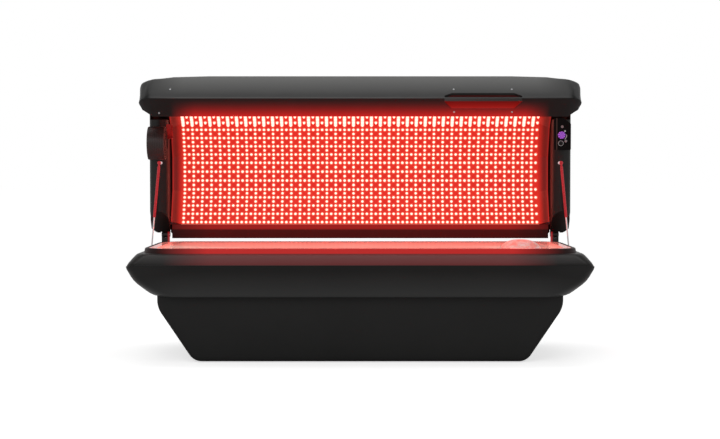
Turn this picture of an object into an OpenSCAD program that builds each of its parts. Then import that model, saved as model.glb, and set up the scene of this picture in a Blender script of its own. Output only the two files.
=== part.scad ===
/* [Bench] */
// Length over the ridge of the bench
bench_l = 2260; // [2100:10:2400]
// Depth over the ridge of the bench
bench_d = 1000; // [960:10:1040]
// Height of the ridge where the two bench mouldings meet
ridge_z = 484; // [470:1:500]
// Corner radius of the ridge seen from above
bench_r = 150; // [130:5:170]
// Rise from the ridge to the flat bench top
band_rise = 47; // [42:1:52]
// Inset of the flat bench top from the ridge
band_in = 55; // [50:1:60]
// Depth of the lower bench moulding below the ridge
hull_drop = 156; // [140:1:165]
// Wall of the bench mouldings
shell_wall = 6; // [4:0.5:8]

/* [Collar and lying sheet] */
// Distance of the collar's ends from the ends of the bench
collar_in = 66; // [64:1:90]
// Front edge of the collar, from the bench centre
collar_front = -430; // [-435:1:-420]
// Rear edge of the collar, from the bench centre
collar_rear = 400; // [380:1:402]
// Corner radius of the collar seen from above
collar_r = 150; // [120:5:170]
// Height of the collar above the bench top
collar_h = 23; // [18:1:26]
// Width of the collar's flat top
collar_w = 26; // [20:1:32]
// Width of the ledge that the lying sheet rests on
ledge_w = 24; // [18:1:30]
// Thickness of the clear lying sheet
sheet_t = 8; // [6:0.5:10]
// Depth of the lying trough below its rim
trough_sag = 92; // [70:1:100]

/* [Pedestal] */
// Half width of the pedestal at its top
pedestal_half_w = 989; // [960:1:1010]
// Half width of the pedestal where its slanted ends would meet the floor
pedestal_foot_w = 811; // [780:1:840]
// Height at which the ends start to slant inwards
pedestal_knee_z = 266; // [240:1:280]
// Depth of the pedestal from front to back
pedestal_d = 760; // [740:5:770]
// Wall of the pedestal cladding
cladding_wall = 4; // [3:0.5:6]
// Gap between the cladding and the floor
cladding_gap = 3; // [2:0.5:6]

/* [Base frame] */
// Side of the square steel tube
tube = 40; // [35:1:45]
// Wall of the steel tube
tube_wall = 3; // [2:0.5:4]
// Radius of a levelling foot
foot_r = 25; // [20:1:30]
// Height of a levelling foot's pad
foot_h = 8; // [6:1:12]

/* [Hinge] */
// Hinge axis behind the bench centre
hinge_y = 410; // [405:1:415]
// Height of the hinge axis
hinge_z = 589; // [585:1:593]
// Angle from closed to open
open_angle = 50; // [45:1:55]
// Middle of each hinge, from the end of the bench
hinge_in = 87; // [82:1:95]
// Width over the ears of a hinge bracket
bracket_w = 40; // [36:1:44]
// Thickness of an ear
ear_t = 9; // [8:0.5:11]
// Radius of the hinge pin
pin_r = 8; // [7:0.5:9]
// Radial clearance of the pin in the moving leaf
pin_gap = 0.05; // [0.02:0.01:0.08]

/* [Canopy] */
// Distance of the canopy's ends from the ends of the bench
canopy_in = 15; // [5:1:30]
// Ridge of the canopy's front edge when closed, from the bench centre
front_ridge = [-501, 599];
// Wall of the canopy shell
canopy_wall = 5; // [4:0.5:6]
// Width of the flat lip under the front edge
lip_w = 106; // [96:1:110]
// Tilt of the jamb faces in the closed canopy
jamb_tilt = 50; // [48:1:52]

/* [Light field] */
// Distance between two light columns or rows
led_pitch = 24; // [23:0.5:24.5]
// Width kept free of lights at each end of the canopy
field_end = 155; // [150:1:200]
// Rows on one flat facet
facet_rows = 8; // [7:1:8]
// Thickness of a light board with its heat spreader
board_t = 5; // [4:0.5:8]
// Boards side by side along one facet
boards_long = 5; // [4:1:6]
// Gap between two boards
board_gap = 1; // [0.5:0.5:2]

/* [Gas struts] */
// Radius of the strut's cylinder
strut_r = 7; // [6:0.5:8]
// Radius of the strut's rod
rod_r = 4; // [3:0.5:5]
// Length from the upper ball to the cylinder's open end
cylinder_l = 296; // [280:1:310]
// Radius of the ball on a stud
ball_r = 6; // [5:0.5:7]
// Clearance of a ball in its socket
ball_gap = 0.3; // [0.2:0.05:0.5]

/* [Handle] */
// Length of the handle bar
handle_l = 387; // [360:1:400]
// Distance of the handle bar from the canopy's right end
handle_in = 307; // [290:1:330]
// Depth of the finger slot in the canopy's face
slot_face = 54; // [42:1:56]
// Depth of the finger slot in the lip
slot_lip = 62; // [42:1:64]
// How far the ends of the finger slot slant inwards
slot_slant = 38; // [10:1:45]

/* [Body fan] */
// Radius of the fan drum
drum_r = 88; // [84:1:90]
// Width of the fan drum
drum_w = 88; // [80:1:90]
// Number of fan blades
blades = 7; // [5:1:9]

/* [Control panel] */
// Width of the control panel
panel_w = 90; // [86:1:94]
// Height of the control panel
panel_h = 168; // [160:1:172]
// Radius of the selector knob
knob_r = 19; // [16:1:20]
// Height of the selector knob
knob_h = 18; // [14:1:22]
// Radius of a push button
button_r = 7; // [6:0.5:8]
// Travel of a push button
button_travel = 1.5; // [1:0.1:2]

/* [Headrest] */
// Length of the headrest along the bed
pillow_l = 200; // [180:5:220]
// Width of the headrest across the bed
pillow_w = 320; // [280:5:340]
// Height of the headrest over the lying sheet
pillow_h = 112; // [95:1:118]
// Middle of the headrest along the bed
pillow_x = 820; // [780:5:840]

/* [Hidden] */
$fn = 48;
bench_y = -28;
half_l = bench_l / 2;
canopy_l = bench_l - 2 * canopy_in;
collar_half_l = half_l - collar_in;
hinge_x = half_l - hinge_in;
led_cols = 2 * floor((canopy_l - 2 * field_end) / (2 * led_pitch));
half_d = bench_d / 2;
handle_x1 = canopy_l / 2 - handle_in;
handle_x0 = handle_x1 - handle_l;
top_z = ridge_z + band_rise;
floor_z = ridge_z - hull_drop;
collar_z = top_z + collar_h;
collar_cy = (collar_front + collar_rear) / 2;
collar_half_d = (collar_rear - collar_front) / 2;
touch = 0.3;

black = [0.09, 0.09, 0.09];
dark = [0.16, 0.16, 0.16];
steel = [0.55, 0.56, 0.58];
red = [0.75, 0.12, 0.09];
board_red = [0.92, 0.27, 0.2];

function unit(v) = v / norm(v);

// Points of a round corner at b between a and c
function corner_arc(a, b, c, r, n) =
  let (u = unit(a - b), w = unit(c - b), half = acos(u * w) / 2,
       p = b + u * (r / tan(half)), q = b + w * (r / tan(half)),
       o = b + unit(u + w) * (r / sin(half)),
       a0 = atan2(p.y - o.y, p.x - o.x),
       turn = (atan2(q.y - o.y, q.x - o.x) - a0 + 540) % 360 - 180)
  [for (k = [0:n]) o + r * [cos(a0 + turn * k / n), sin(a0 + turn * k / n)]];

// Closed outline with its corners rounded in n steps each
function rounded(pts, radii, n = 6) =
  [for (i = [0:len(pts) - 1])
    each radii[i] > 0
      ? corner_arc(pts[(i + len(pts) - 1) % len(pts)], pts[i], pts[(i + 1) % len(pts)], radii[i],
                   is_list(n) ? n[i] : n)
      : [pts[i]]];

// Bench pieces stand around the bench centre
module bench() { translate([0, bench_y, 0]) children(); }

// Canopy pieces are drawn closed and opened about the hinge axis
module canopy() {
  bench() translate([0, hinge_y, hinge_z]) rotate([-open_angle, 0, 0])
    translate([0, -hinge_y, -hinge_z]) children();
}

// The jambs are drawn with their faces upright
module jamb_frame() {
  canopy() translate([0, hinge_y, hinge_z]) rotate([jamb_tilt, 0, 0])
    translate([0, -hinge_y, -hinge_z]) children();
}

module both_ends() { children(); mirror([1, 0, 0]) children(); }

// Profile drawn as (out, up), swept round a rectangle with round corners
module sweep_round(hx, hy, r) {
  for (q = [0:3]) {
    sx = (q == 0 || q == 3) ? 1 : -1;
    sy = q < 2 ? 1 : -1;
    translate([sx * (hx - r), sy * (hy - r), 0]) rotate([0, 0, 90 * q])
      rotate_extrude(angle = 90) children();
  }
  for (s = [0, 180]) {
    rotate([0, 0, s]) translate([hx - r, 0, 0]) rotate([90, 0, 0])
      linear_extrude(2 * (hy - r), center = true) children();
    rotate([0, 0, s + 90]) translate([hy - r, 0, 0]) rotate([90, 0, 0])
      linear_extrude(2 * (hx - r), center = true) children();
  }
}

module round_plate(hx, hy, r, t) {
  linear_extrude(t) polygon(rounded([[-hx, -hy], [hx, -hy], [hx, hy], [-hx, hy]], [r, r, r, r], 8));
}

// Profile drawn as (depth, height), run along the length of the bed
module along(x0, x1) {
  translate([x0, 0, 0]) rotate([90, 0, 90]) linear_extrude(x1 - x0) children();
}

// Square tube along the length of the bed
module tube_x(l) {
  difference() {
    translate([-l / 2, -tube / 2, 0]) cube([l, tube, tube]);
    translate([-l / 2 - 1, -tube / 2 + tube_wall, tube_wall])
      cube([l + 2, tube - 2 * tube_wall, tube - 2 * tube_wall]);
  }
}

rail_y = 290;
low_rail_z = foot_h + 6;
low_rail_l = 2 * (pedestal_foot_w - 91);
top_rail_l = 2 * (pedestal_half_w - 59);
top_rail_z = floor_z - tube;
post_end = low_rail_l / 2 - tube;
post_x = [-post_end, 0, post_end];

module base_frame() {
  color(dark) bench() {
    for (s = [-1, 1]) {
      translate([0, s * rail_y, 0]) {
        difference() {
          translate([0, 0, low_rail_z]) tube_x(low_rail_l);
          for (x = post_x) translate([x, 0, low_rail_z - 1]) cylinder(r = stem_r + 0.2, h = tube_wall + 2);
        }
        translate([0, 0, top_rail_z]) tube_x(top_rail_l);
        for (x = post_x) translate([x - tube / 2, -tube / 2, low_rail_z + tube])
          cube([tube, tube, top_rail_z - low_rail_z - tube]);
      }
    }
    for (x = concat(post_x, [tube / 2 - top_rail_l / 2, top_rail_l / 2 - tube / 2])) translate([x - tube / 2, -rail_y + tube / 2, top_rail_z])
      cube([tube, 2 * rail_y - tube, tube]);
    for (x = post_x) translate([x - tube / 2, -rail_y + tube / 2, low_rail_z])
      cube([tube, 2 * rail_y - tube, tube]);
  }
}

stem_r = 6;

module levelling_feet() {
  color(black) bench() for (x = post_x, s = [-1, 1]) translate([x, s * rail_y, 0]) {
    cylinder(r = foot_r, h = foot_h);
    cylinder(r = stem_r, h = low_rail_z + 22);
  }
}

// Front view of the pedestal, drawn in its own plane
module pedestal_outline(inset) {
  offset(delta = -inset) polygon(rounded(
    [[-pedestal_half_w, cladding_top + inset], [-pedestal_half_w, pedestal_knee_z], [-pedestal_foot_w, cladding_gap],
     [pedestal_foot_w, cladding_gap], [pedestal_half_w, pedestal_knee_z], [pedestal_half_w, cladding_top + inset]],
    [0, 120, 70, 70, 120, 0]));
}

cladding_edge = 22;
cladding_top = floor_z - touch;
vent_w = 360;
vent_h = 120;
vent_x = 420;
vent_z = 165;
gland_x = 690;
gland_z = 120;
gland_r = 12;

module pedestal_cladding() {
  inner_d = pedestal_d - 2 * cladding_wall;
  color(black) bench() difference() {
    hull() for (a = [0:22.5:90])
      rotate([90, 0, 0])
        linear_extrude(pedestal_d - 2 * cladding_edge * (1 - sin(a)), center = true)
          pedestal_outline(cladding_edge * (1 - cos(a)));
    rotate([90, 0, 0]) linear_extrude(inner_d, center = true) pedestal_outline(cladding_edge);
    rotate([90, 0, 0]) linear_extrude(inner_d - 2 * cladding_edge, center = true)
      pedestal_outline(cladding_wall);
    translate([-pedestal_half_w + cladding_edge, -inner_d / 2, floor_z - 30])
      cube([2 * (pedestal_half_w - cladding_edge), inner_d, 60]);
    translate([-pedestal_foot_w + 60, -inner_d / 2 + cladding_edge, -1])
      cube([2 * (pedestal_foot_w - 60), inner_d - 2 * cladding_edge, 60]);
    for (s = [-1, 1]) translate([s * vent_x - vent_w / 2, inner_d / 2 - 1, vent_z - vent_h / 2])
      cube([vent_w, cladding_wall + 2, vent_h]);
    translate([gland_x, pedestal_d / 2 - cladding_wall - 1, gland_z]) rotate([-90, 0, 0])
      cylinder(r = gland_r, h = cladding_wall + 2);
  }
}

module rear_vent_grilles() {
  slats = 9;
  lap = 12;
  t = 3;
  color(black) bench() for (s = [-1, 1]) translate([s * vent_x, pedestal_d / 2, vent_z]) {
    difference() {
      translate([-vent_w / 2 - lap, 0, -vent_h / 2 - lap]) cube([vent_w + 2 * lap, t, vent_h + 2 * lap]);
      translate([-vent_w / 2 + 4, -1, -vent_h / 2 + 4]) cube([vent_w - 8, t + 2, vent_h - 8]);
    }
    for (k = [0:slats - 1]) translate([0, t / 2, -vent_h / 2 + (k + 0.5) * vent_h / slats])
      rotate([35, 0, 0]) cube([vent_w - 7, 2, 13], center = true);
  }
}

module mains_gland() {
  color(black) bench() translate([gland_x, pedestal_d / 2, gland_z]) rotate([-90, 0, 0]) difference() {
    union() {
      translate([0, 0, -16]) cylinder(r = gland_r - touch, h = 16);
      cylinder(r = 18, h = 6, $fn = 6);
      translate([0, 0, 6]) cylinder(r1 = 15, r2 = 11, h = 16);
    }
    translate([0, 0, -17]) cylinder(r = 6, h = 40);
  }
}

module power_supplies() {
  l = 230;
  w = 115;
  h = 50;
  tray_t = 2;
  color(steel) bench() {
    translate([-post_end - 10, -140, low_rail_z + tube]) cube([2 * post_end + 20, 280, tray_t]);
    for (x = [-480, -180, 180, 480], s = [-1, 1])
      translate([x - l / 2, s * 70 - w / 2, low_rail_z + tube + tray_t]) cube([l, w, h]);
  }
}

// Outer points of the lower moulding from the ridge down, as (inset, drop)
hull_out = [[0, 2], [4, 22], [14, 46], [34, 85], [50, 99], [103, 149], [123, 154], [150, 156]];

module bench_lower_shell() {
  outer = [for (p = hull_out) [bench_r - p.x, ridge_z - p.y * hull_drop / 156]];
  inner = [for (i = [len(outer) - 1:-1:0])
    outer[i] + (i > 5 ? [0, shell_wall] : i > 3 ? [-4, shell_wall] : [-shell_wall, 2])];
  color(black) bench() {
    sweep_round(half_l, half_d, bench_r) polygon(concat(outer, inner));
    difference() {
      translate([0, 0, floor_z]) round_plate(half_l - 123, half_d - 123, bench_r - 123, shell_wall);
      for (s = [-1, 1]) translate([s * fan_x, 0, floor_z - 1]) cylinder(r = fan_hole_r, h = shell_wall + 2);
    }
  }
}

notch_y = [258, 352];
notch_x = half_l - 46;

module bench_upper_shell() {
  w = shell_wall;
  band = rounded([[bench_r, ridge_z], [bench_r - band_in, top_z], [bench_r - band_in - 20, top_z],
                  [bench_r - band_in - 20, top_z - w], [bench_r - band_in - 2, top_z - w],
                  [bench_r - w * 1.4, ridge_z]], [2.5, 14, 0, 0, 8, 0]);
  color(dark) bench() difference() {
    union() {
      sweep_round(half_l, half_d, bench_r) polygon(band);
      translate([0, 0, top_z - w])
        round_plate(half_l - band_in - 10, half_d - band_in - 10, bench_r - band_in - 10, w);
    }
    translate([0, collar_cy, top_z - w - 1])
      round_plate(collar_half_l - 20, collar_half_d - 20, collar_r - 20, w + 2);
    both_ends() translate([notch_x, notch_y[0], ridge_z + 4])
      cube([36, notch_y[1] - notch_y[0], band_rise]);
  }
}

module bench_collar() {
  r = collar_r;
  rim_z = collar_z - sheet_t;
  w = 4;
  profile = rounded([[r, top_z], [r - 5, collar_z], [r - collar_w, collar_z], [r - collar_w, rim_z],
                     [r - collar_w - ledge_w, rim_z], [r - collar_w - ledge_w, rim_z - w],
                     [r - collar_w + w, rim_z - w], [r - collar_w + w, collar_z - w],
                     [r - 5 - w, collar_z - w], [r - w, top_z]], [0, 5, 2, 0, 0, 0, 0, 0, 0, 0], 4);
  color(dark) bench() translate([0, collar_cy, 0])
    sweep_round(collar_half_l, collar_half_d, r) polygon(profile);
}

sheet_half_l = collar_half_l - collar_w - touch;
sheet_half_d = collar_half_d - collar_w - touch;
sheet_r = collar_r - collar_w - touch;
trough_half_d = sheet_half_d - ledge_w - 6;
trough_half_l = sheet_half_l - ledge_w - 6;
trough_r = (pow(trough_half_d, 2) + pow(trough_sag, 2)) / (2 * trough_sag);
trough_cz = collar_z - trough_sag + trough_r;
trough_a = asin(trough_half_d / trough_r);

module trough_circle(r) { translate([0, trough_cz]) circle(r = r, $fn = 96); }

// Room inside the ledge, seen from above, that the trough goes down through
module trough_plan(inset) {
  gap = ledge_w + 2 + inset;
  translate([0, 0, collar_z - trough_sag - 40])
    round_plate(collar_half_l - collar_w - gap, collar_half_d - collar_w - gap, collar_r - collar_w - gap,
                trough_sag + 80);
}

module lying_sheet() {
  under = collar_z - trough_sag - sheet_t - 1;
  color([0.95, 0.55, 0.5]) bench() translate([0, collar_cy, 0]) difference() {
    union() {
      translate([0, 0, collar_z - sheet_t]) round_plate(sheet_half_l, sheet_half_d, sheet_r, sheet_t);
      intersection() {
        along(-trough_half_l, trough_half_l) intersection() {
          trough_circle(trough_r + sheet_t);
          translate([-sheet_half_d, under]) square([2 * sheet_half_d, collar_z - sheet_t / 2 - under]);
        }
        trough_plan(0);
      }
    }
    intersection() {
      along(sheet_t - trough_half_l, trough_half_l - sheet_t) trough_circle(trough_r);
      trough_plan(sheet_t);
    }
  }
}

bed_facets = 4;
bed_board_gap = 22;
bed_r = trough_r + sheet_t + bed_board_gap;
bed_step = 2 * (trough_a - 3) / bed_facets;
field_half = led_cols * led_pitch / 2;

// Joint k between the flat facets under the lying sheet
function bed_joint(k, r) = let (a = -trough_a + 3 + k * bed_step) [r * sin(a), trough_cz - r * cos(a)];

module bench_led_boards() {
  l = 2 * field_half / boards_long;
  color(board_red) bench() translate([0, collar_cy, 0])
    for (k = [0:bed_facets - 1], b = [0:boards_long - 1]) {
      p = bed_joint(k, bed_r);
      q = bed_joint(k + 1, bed_r);
      translate([-field_half + b * l + board_gap / 2, p.x, p.y])
        rotate([atan2(q.y - p.y, q.x - p.x), 0, 0])
          translate([0, board_gap + 1, -board_t]) cube([l - board_gap, norm(q - p) - 2 * board_gap - 2, board_t]);
    }
}

bed_rib_x = [for (k = [-2.5:2.5]) k * 2 * (field_half - 20) / 5];

module bench_ribs() {
  t = 5;
  r = bed_r + (board_t + touch) / cos(bed_step / 2);
  color(steel) bench() translate([0, collar_cy, 0]) for (x = bed_rib_x) difference() {
    along(x - t / 2, x + t / 2) polygon(concat(
      [for (k = [0:bed_facets]) bed_joint(k, r)],
      [[bed_joint(bed_facets, r).x, floor_z + shell_wall], [bed_joint(0, r).x, floor_z + shell_wall]]));
    for (s = [-1, 1]) translate([x, s * 240, floor_z + shell_wall + 42]) rotate([0, 90, 0])
      cylinder(r = 22, h = t + 2, center = true);
  }
}

fan_x = 384;
fan_hole_r = 56;
fan_side = 120;
fan_t = 38;
fan_z = floor_z + shell_wall;

module bench_fan_frames() {
  color(black) bench() for (s = [-1, 1]) translate([s * fan_x, 0, fan_z]) {
    difference() {
      translate([-fan_side / 2, -fan_side / 2, 0]) cube([fan_side, fan_side, fan_t]);
      translate([0, 0, -1]) cylinder(r = fan_hole_r, h = fan_t + 2);
    }
    for (a = [45:90:315]) rotate([0, 0, a]) translate([16, -3, 0]) cube([fan_hole_r - 14, 6, 4]);
    cylinder(r = 19, h = 6);
    cylinder(r = 3, h = 30);
  }
}

// Rotor of an axial fan about its own axis
module axial_rotor(r, hub_r, h, bore_r) {
  difference() {
    cylinder(r = hub_r, h = h);
    translate([0, 0, -1]) cylinder(r = bore_r, h = h + 2);
  }
  for (k = [0:blades - 1]) rotate([0, 0, k * 360 / blades]) translate([hub_r - 2, 0, h / 2])
    rotate([38, 0, 0]) translate([0, -h * 0.6, -1]) cube([r - hub_r + 2, h * 1.2, 2]);
}

module bench_fan_left() {
  color(dark) bench() translate([-fan_x, 0, fan_z + 7.5]) axial_rotor(53, 19, 24, 3 + pin_gap);
}

module bench_fan_right() {
  color(dark) bench() translate([fan_x, 0, fan_z + 7.5]) axial_rotor(53, 19, 24, 3 + pin_gap);
}

// Height of the lying sheet's upper face at a distance from its centre line
function sheet_top(y) = trough_cz - sqrt(pow(trough_r, 2) - pow(y, 2));

// Levels of the headrest from underside to crown, as (share of outline, share of height)
pillow_levels = [[0.5, 0], [0.86, 0.03], [0.96, 0.18], [1, 0.36], [0.97, 0.56], [0.88, 0.74], [0.7, 0.89],
                 [0.42, 0.975]];

module headrest_pillow() {
  n = 40;
  m = len(pillow_levels);
  pts = concat(
    [for (l = pillow_levels, k = [0:n - 1])
      let (a = 360 * k / n, c = cos(a), s = sin(a),
           x = l[0] * pillow_l / 2 * sign(c) * pow(abs(c), 0.62),
           y = l[0] * pillow_w / 2 * sign(s) * pow(abs(s), 0.62))
      [x, y, sheet_top(y) + touch + l[1] * pillow_h]],
    [[0, 0, sheet_top(0) + touch], [0, 0, sheet_top(0) + touch + pillow_h]]);
  color([0.97, 0.85, 0.83]) bench() translate([pillow_x, collar_cy, 0]) polyhedron(pts, concat(
    [for (j = [0:m - 2], k = [0:n - 1]) let (a = j * n + k, b = j * n + (k + 1) % n) each
      [[a, b + n, b], [a, a + n, b + n]]],
    [for (k = [0:n - 1]) [k, (k + 1) % n, m * n]],
    [for (k = [0:n - 1]) [(m - 1) * n + (k + 1) % n, (m - 1) * n + k, m * n + 1]]));
}

knuckle_r = 18;

module hinge_brackets() {
  foot_l = 64;
  foot_t = 6;
  color(dark) bench() both_ends() difference() {
    union() {
      translate([hinge_x - bracket_w / 2, hinge_y - foot_l / 2, top_z]) cube([bracket_w, foot_l, foot_t]);
      for (x = [-bracket_w / 2, bracket_w / 2 - ear_t]) translate([hinge_x + x, hinge_y, 0]) {
        translate([0, -knuckle_r, top_z]) cube([ear_t, 2 * knuckle_r, hinge_z - top_z]);
        translate([0, 0, hinge_z]) rotate([0, 90, 0]) cylinder(r = knuckle_r, h = ear_t);
      }
    }
    translate([hinge_x - bracket_w, hinge_y, hinge_z]) rotate([0, 90, 0])
      cylinder(r = pin_r, h = 2 * bracket_w);
  }
}

module hinge_pins() {
  head_r = 12;
  head_t = 4;
  color(steel) bench() both_ends() translate([hinge_x - bracket_w / 2, hinge_y, hinge_z]) rotate([0, 90, 0]) {
    cylinder(r = pin_r, h = bracket_w);
    translate([0, 0, -head_t]) cylinder(r = head_r, h = head_t);
    translate([0, 0, bracket_w]) cylinder(r = pin_r + 3, h = 2);
  }
}

leaf_w = bracket_w - 2 * ear_t - 1.2;

module hinge_leaves() {
  color(dark) canopy() both_ends() difference() {
    union() {
      translate([hinge_x - leaf_w / 2, hinge_y, hinge_z]) rotate([0, 90, 0]) cylinder(r = knuckle_r, h = leaf_w);
      translate([hinge_x, 0, 0]) along(-leaf_w / 2, leaf_w / 2)
        polygon([[hinge_y - 16, hinge_z + 6], [hinge_y + 12, hinge_z + 12], [hinge_y - 8, hinge_z + 24],
                 [hinge_y - 8, rear_rail.y + 10], [hinge_y - 15, rear_rail.y + 30],
                 [rear_rail.x - 6, rear_rail.y + 30], [rear_rail.x - 6, rear_rail.y - 4]]);
    }
    translate([hinge_x - bracket_w, hinge_y, hinge_z]) rotate([0, 90, 0])
      cylinder(r = pin_r + pin_gap, h = 2 * bracket_w);
    translate([hinge_x - bracket_w, rear_rail.x - 0.2, rear_rail.y - 0.2]) cube([2 * bracket_w, 30.4, 30.4]);
  }
}

// Ends of the struts at rest, for the right side, around the bench centre
function opened(p) =
  let (v = [p.y - hinge_y, p.z - hinge_z], a = jamb_tilt - open_angle)
  [p.x, hinge_y + v.x * cos(a) - v.y * sin(a), hinge_z + v.x * sin(a) + v.y * cos(a)];
strut_top = [half_l - 79, 205, 972];
strut_q = opened(strut_top);
strut_p = [half_l - 18, 322, 486];
strut_dir = unit(strut_p - strut_q);
strut_open = norm(strut_p - strut_q);

// Draws a strut piece along its own axis, from the upper ball down
module strut_place(side) {
  a = acos(strut_dir.z);
  b = atan2(strut_dir.y, strut_dir.x);
  bench() mirror([side < 0 ? 1 : 0, 0, 0]) translate(strut_q) rotate([0, a, b]) children();
}

socket_r = ball_r + 4;
stud_r = ball_r - 2.5;
stud_seat = 278 - strut_top.y;
stud_l = stud_seat + 10;
stud_flange = 8;

module strut_cylinder(side) {
  strut_place(side) difference() {
    union() {
      sphere(r = socket_r);
      cylinder(r = 5, h = 24);
      translate([0, 0, 20]) cylinder(r = strut_r, h = cylinder_l - 20);
    }
    sphere(r = ball_r + ball_gap);
    rotate([0, -acos(strut_dir.z), 0]) rotate([0, 0, -atan2(strut_dir.y, strut_dir.x)])
      rotate([-90, 0, 0]) cylinder(r1 = ball_r - 1, r2 = ball_r + 3, h = socket_r + 2);
    translate([0, 0, 44]) cylinder(r = rod_r + 0.06, h = cylinder_l);
  }
}

module strut_cylinder_left() { color(black) strut_cylinder(-1); }
module strut_cylinder_right() { color(black) strut_cylinder(1); }

rod_in = 130;

module strut_rod(side) {
  eye_r = 9;
  strut_place(side) translate([0, 0, cylinder_l - rod_in])
    cylinder(r = rod_r, h = strut_open - cylinder_l + rod_in - eye_r + 2);
  bench() mirror([side < 0 ? 1 : 0, 0, 0]) translate(strut_p) rotate([0, 90, 0])
    cylinder(r = eye_r, h = 8, center = true);
}

module strut_rod_left() { color(steel) strut_rod(-1); }
module strut_rod_right() { color(steel) strut_rod(1); }

module strut_anchors() {
  plate = 6;
  reach_x = strut_p.x - 4 - 1.2;
  foot_x = half_l - 184;
  foot_w = 34;
  post = foot_x + foot_w - plate;
  color(steel) bench() both_ends() {
    translate([foot_x, strut_p.y - 25, floor_z + shell_wall]) cube([foot_w, 50, plate]);
    translate([post, strut_p.y - 25, floor_z + shell_wall]) cube([plate, 50, strut_p.z + 12 - floor_z - shell_wall]);
    translate([post, strut_p.y, strut_p.z]) rotate([0, 90, 0]) {
      cylinder(r = 7, h = reach_x - 6 - post);
      cylinder(r = 4, h = reach_x - post);
    }
  }
}

// Outline of the canopy across the bed when closed; f and u draw its front edge in and up, t and r
// draw in its top and rear, and an outline drawn in by inset runs on below the open underside
function canopy_outline(f, u, t, r, inset) = rounded(
  [[front_ridge.x + f + inset, front_ridge.y + u - (inset > 0 ? 40 : 0)], [-450 + f * 0.55 + inset, 858 - t - inset],
   [-250 + f * 0.3, 990 - t - inset], [-45, 1032 - t - inset], [165 - r * 0.2, 985 - t - inset],
   [335 - r * 0.5 - inset * 0.7, 838 - t * 0.8 - inset * 0.7], [432 - r - inset, 660 + r * 0.3],
   [432 - r - inset, 622 + r * 0.3], [418 - r - (inset > 0 ? 2 : 0), 569 + r * 0.5 - (inset > 0 ? 60 : 0)],
   [381 - r, 600 + r * 0.2 - (inset > 0 ? 50 : 0)]],
  [3, 60, 160, 300, 220, 160, 40, 12, 6, 0], [2, 4, 5, 5, 5, 4, 4, 2, 2, 0]);

// Slices of the round canopy ends, as (distance from the end, front in, front up, top, rear, lip's rise)
canopy_slices = [[340, 0, 0, 0, 0, 0], [160, 0, 0, 9, 0, 0], [105, 0, 0, 22, 4, 0], [71, 0, 0, 27, 16, 0],
                 [17, 28, 24, 34, 48, 34], [0, 64, 45, 50, 70, 60]];

// Closed skin through cross-sections along the bed, each given as [x, outline]
module loft(sections) {
  n = len(sections[0][1]);
  m = len(sections);
  pts = concat(
    [for (s = sections, p = s[1]) [s[0], p.x, p.y]],
    [for (s = [sections[0], sections[m - 1]]) let (c = [for (k = [0:n - 1]) 1] * s[1] / n) [s[0], c.x, c.y]]);
  polyhedron(pts, concat(
    [for (j = [0:m - 2], k = [0:n - 1]) let (a = j * n + k, b = j * n + (k + 1) % n) each
      sections[j][0] < 0 ? [[a, b, a + n], [b, b + n, a + n]] : [[a, b, b + n], [a, b + n, a + n]]],
    [for (k = [0:n - 1]) [(k + 1) % n, k, m * n]],
    [for (k = [0:n - 1]) [(m - 1) * n + k, (m - 1) * n + (k + 1) % n, m * n + 1]]));
}

// Solid canopy form, drawn in from its true surface by inset and made longer by past at both ends
module canopy_form(inset, past = 0) {
  loft(both_ways([for (s = canopy_slices)
    [canopy_l / 2 - s[0] + (s[0] == 0 ? past : -inset), canopy_outline(s[1], s[2], s[3], s[4], inset)]]));
}

// Sections of one end with those of the other before them
function both_ways(far) = concat([for (k = [len(far) - 1:-1:0]) [-far[k][0], far[k][1]]], far);

lip_inner = [front_ridge.x + lip_w, front_ridge.y - 14];
rim_back = 424;

// Space of the open arch in each canopy end, drawn with the jamb faces upright
jamb_back = 325;
arch_top = 1215;
module end_arch() {
  jamb_turn() both_ends() translate([1016, 0, 0]) along(0, 140)
    polygon(rounded([[-400, 300], [jamb_back, 300], [jamb_back, arch_top], [-400, arch_top]], [0, 0, 70, 0], 8));
}

// Turns upright jamb drawings into the closed canopy
module jamb_turn() {
  translate([0, hinge_y, hinge_z]) rotate([jamb_tilt, 0, 0]) translate([0, -hinge_y, -hinge_z]) children();
}

// Slot behind the bar, with its ends slanted in from the ridge on the face and on the lip
module handle_slot() {
  y = front_ridge.x;
  z = front_ridge.y;
  loft([for (s = [[handle_x0 - touch, 0], [handle_x0 + slot_slant, 1], [handle_x1 - slot_slant, 1],
                  [handle_x1 + touch, 0]])
    let (d = 24 + s[1] * (slot_lip - 24), h = 22 + s[1] * (slot_face - 22))
    [s[0], [[y - 20, z - 30], [y - 20, z + h], [y + 6, z + h], [y + d, z + 18], [y + d, z - 30]]]]);
}

module canopy_shell() {
  color(black) canopy() difference() {
    canopy_form(0);
    canopy_form(canopy_wall, 4);
    along(-canopy_l, canopy_l) polygon([[-700, 300], [700, 300], [700, 560], [rim_back, 560],
      [rim_back, 640], [380, 640], [-380, 640], [-400, front_ridge.y - 2], [-700, front_ridge.y - 2]]);
    loft(both_ways([for (s = canopy_slices) [canopy_l / 2 - s[0] + (s[0] == 0 ? 5 : 0), lip_seat(s)]]));
    end_arch();
    handle_slot();
    both_ends() translate([hinge_x, 0, 0]) along(-bracket_w / 2 - 4, bracket_w / 2 + 4)
      hinge_clear();
  }
}

// Room for the bracket as the canopy swings, round the hinge axis
module hinge_clear() {
  translate([hinge_y, hinge_z]) circle(r = knuckle_r + 8);
  polygon([[hinge_y, hinge_z], [hinge_y - 40, hinge_z - 10], [hinge_y - 40, hinge_z - 90],
           [hinge_y + 90, hinge_z - 90], [hinge_y + 80, hinge_z - 20]]);
}

// Places of the lip's outer and inner edge in a slice
function lip_front(s) = [front_ridge.x + s[1], front_ridge.y + s[2]];
function lip_back(s) = lip_inner + s[5] * [-0.36, 1.13];

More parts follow.
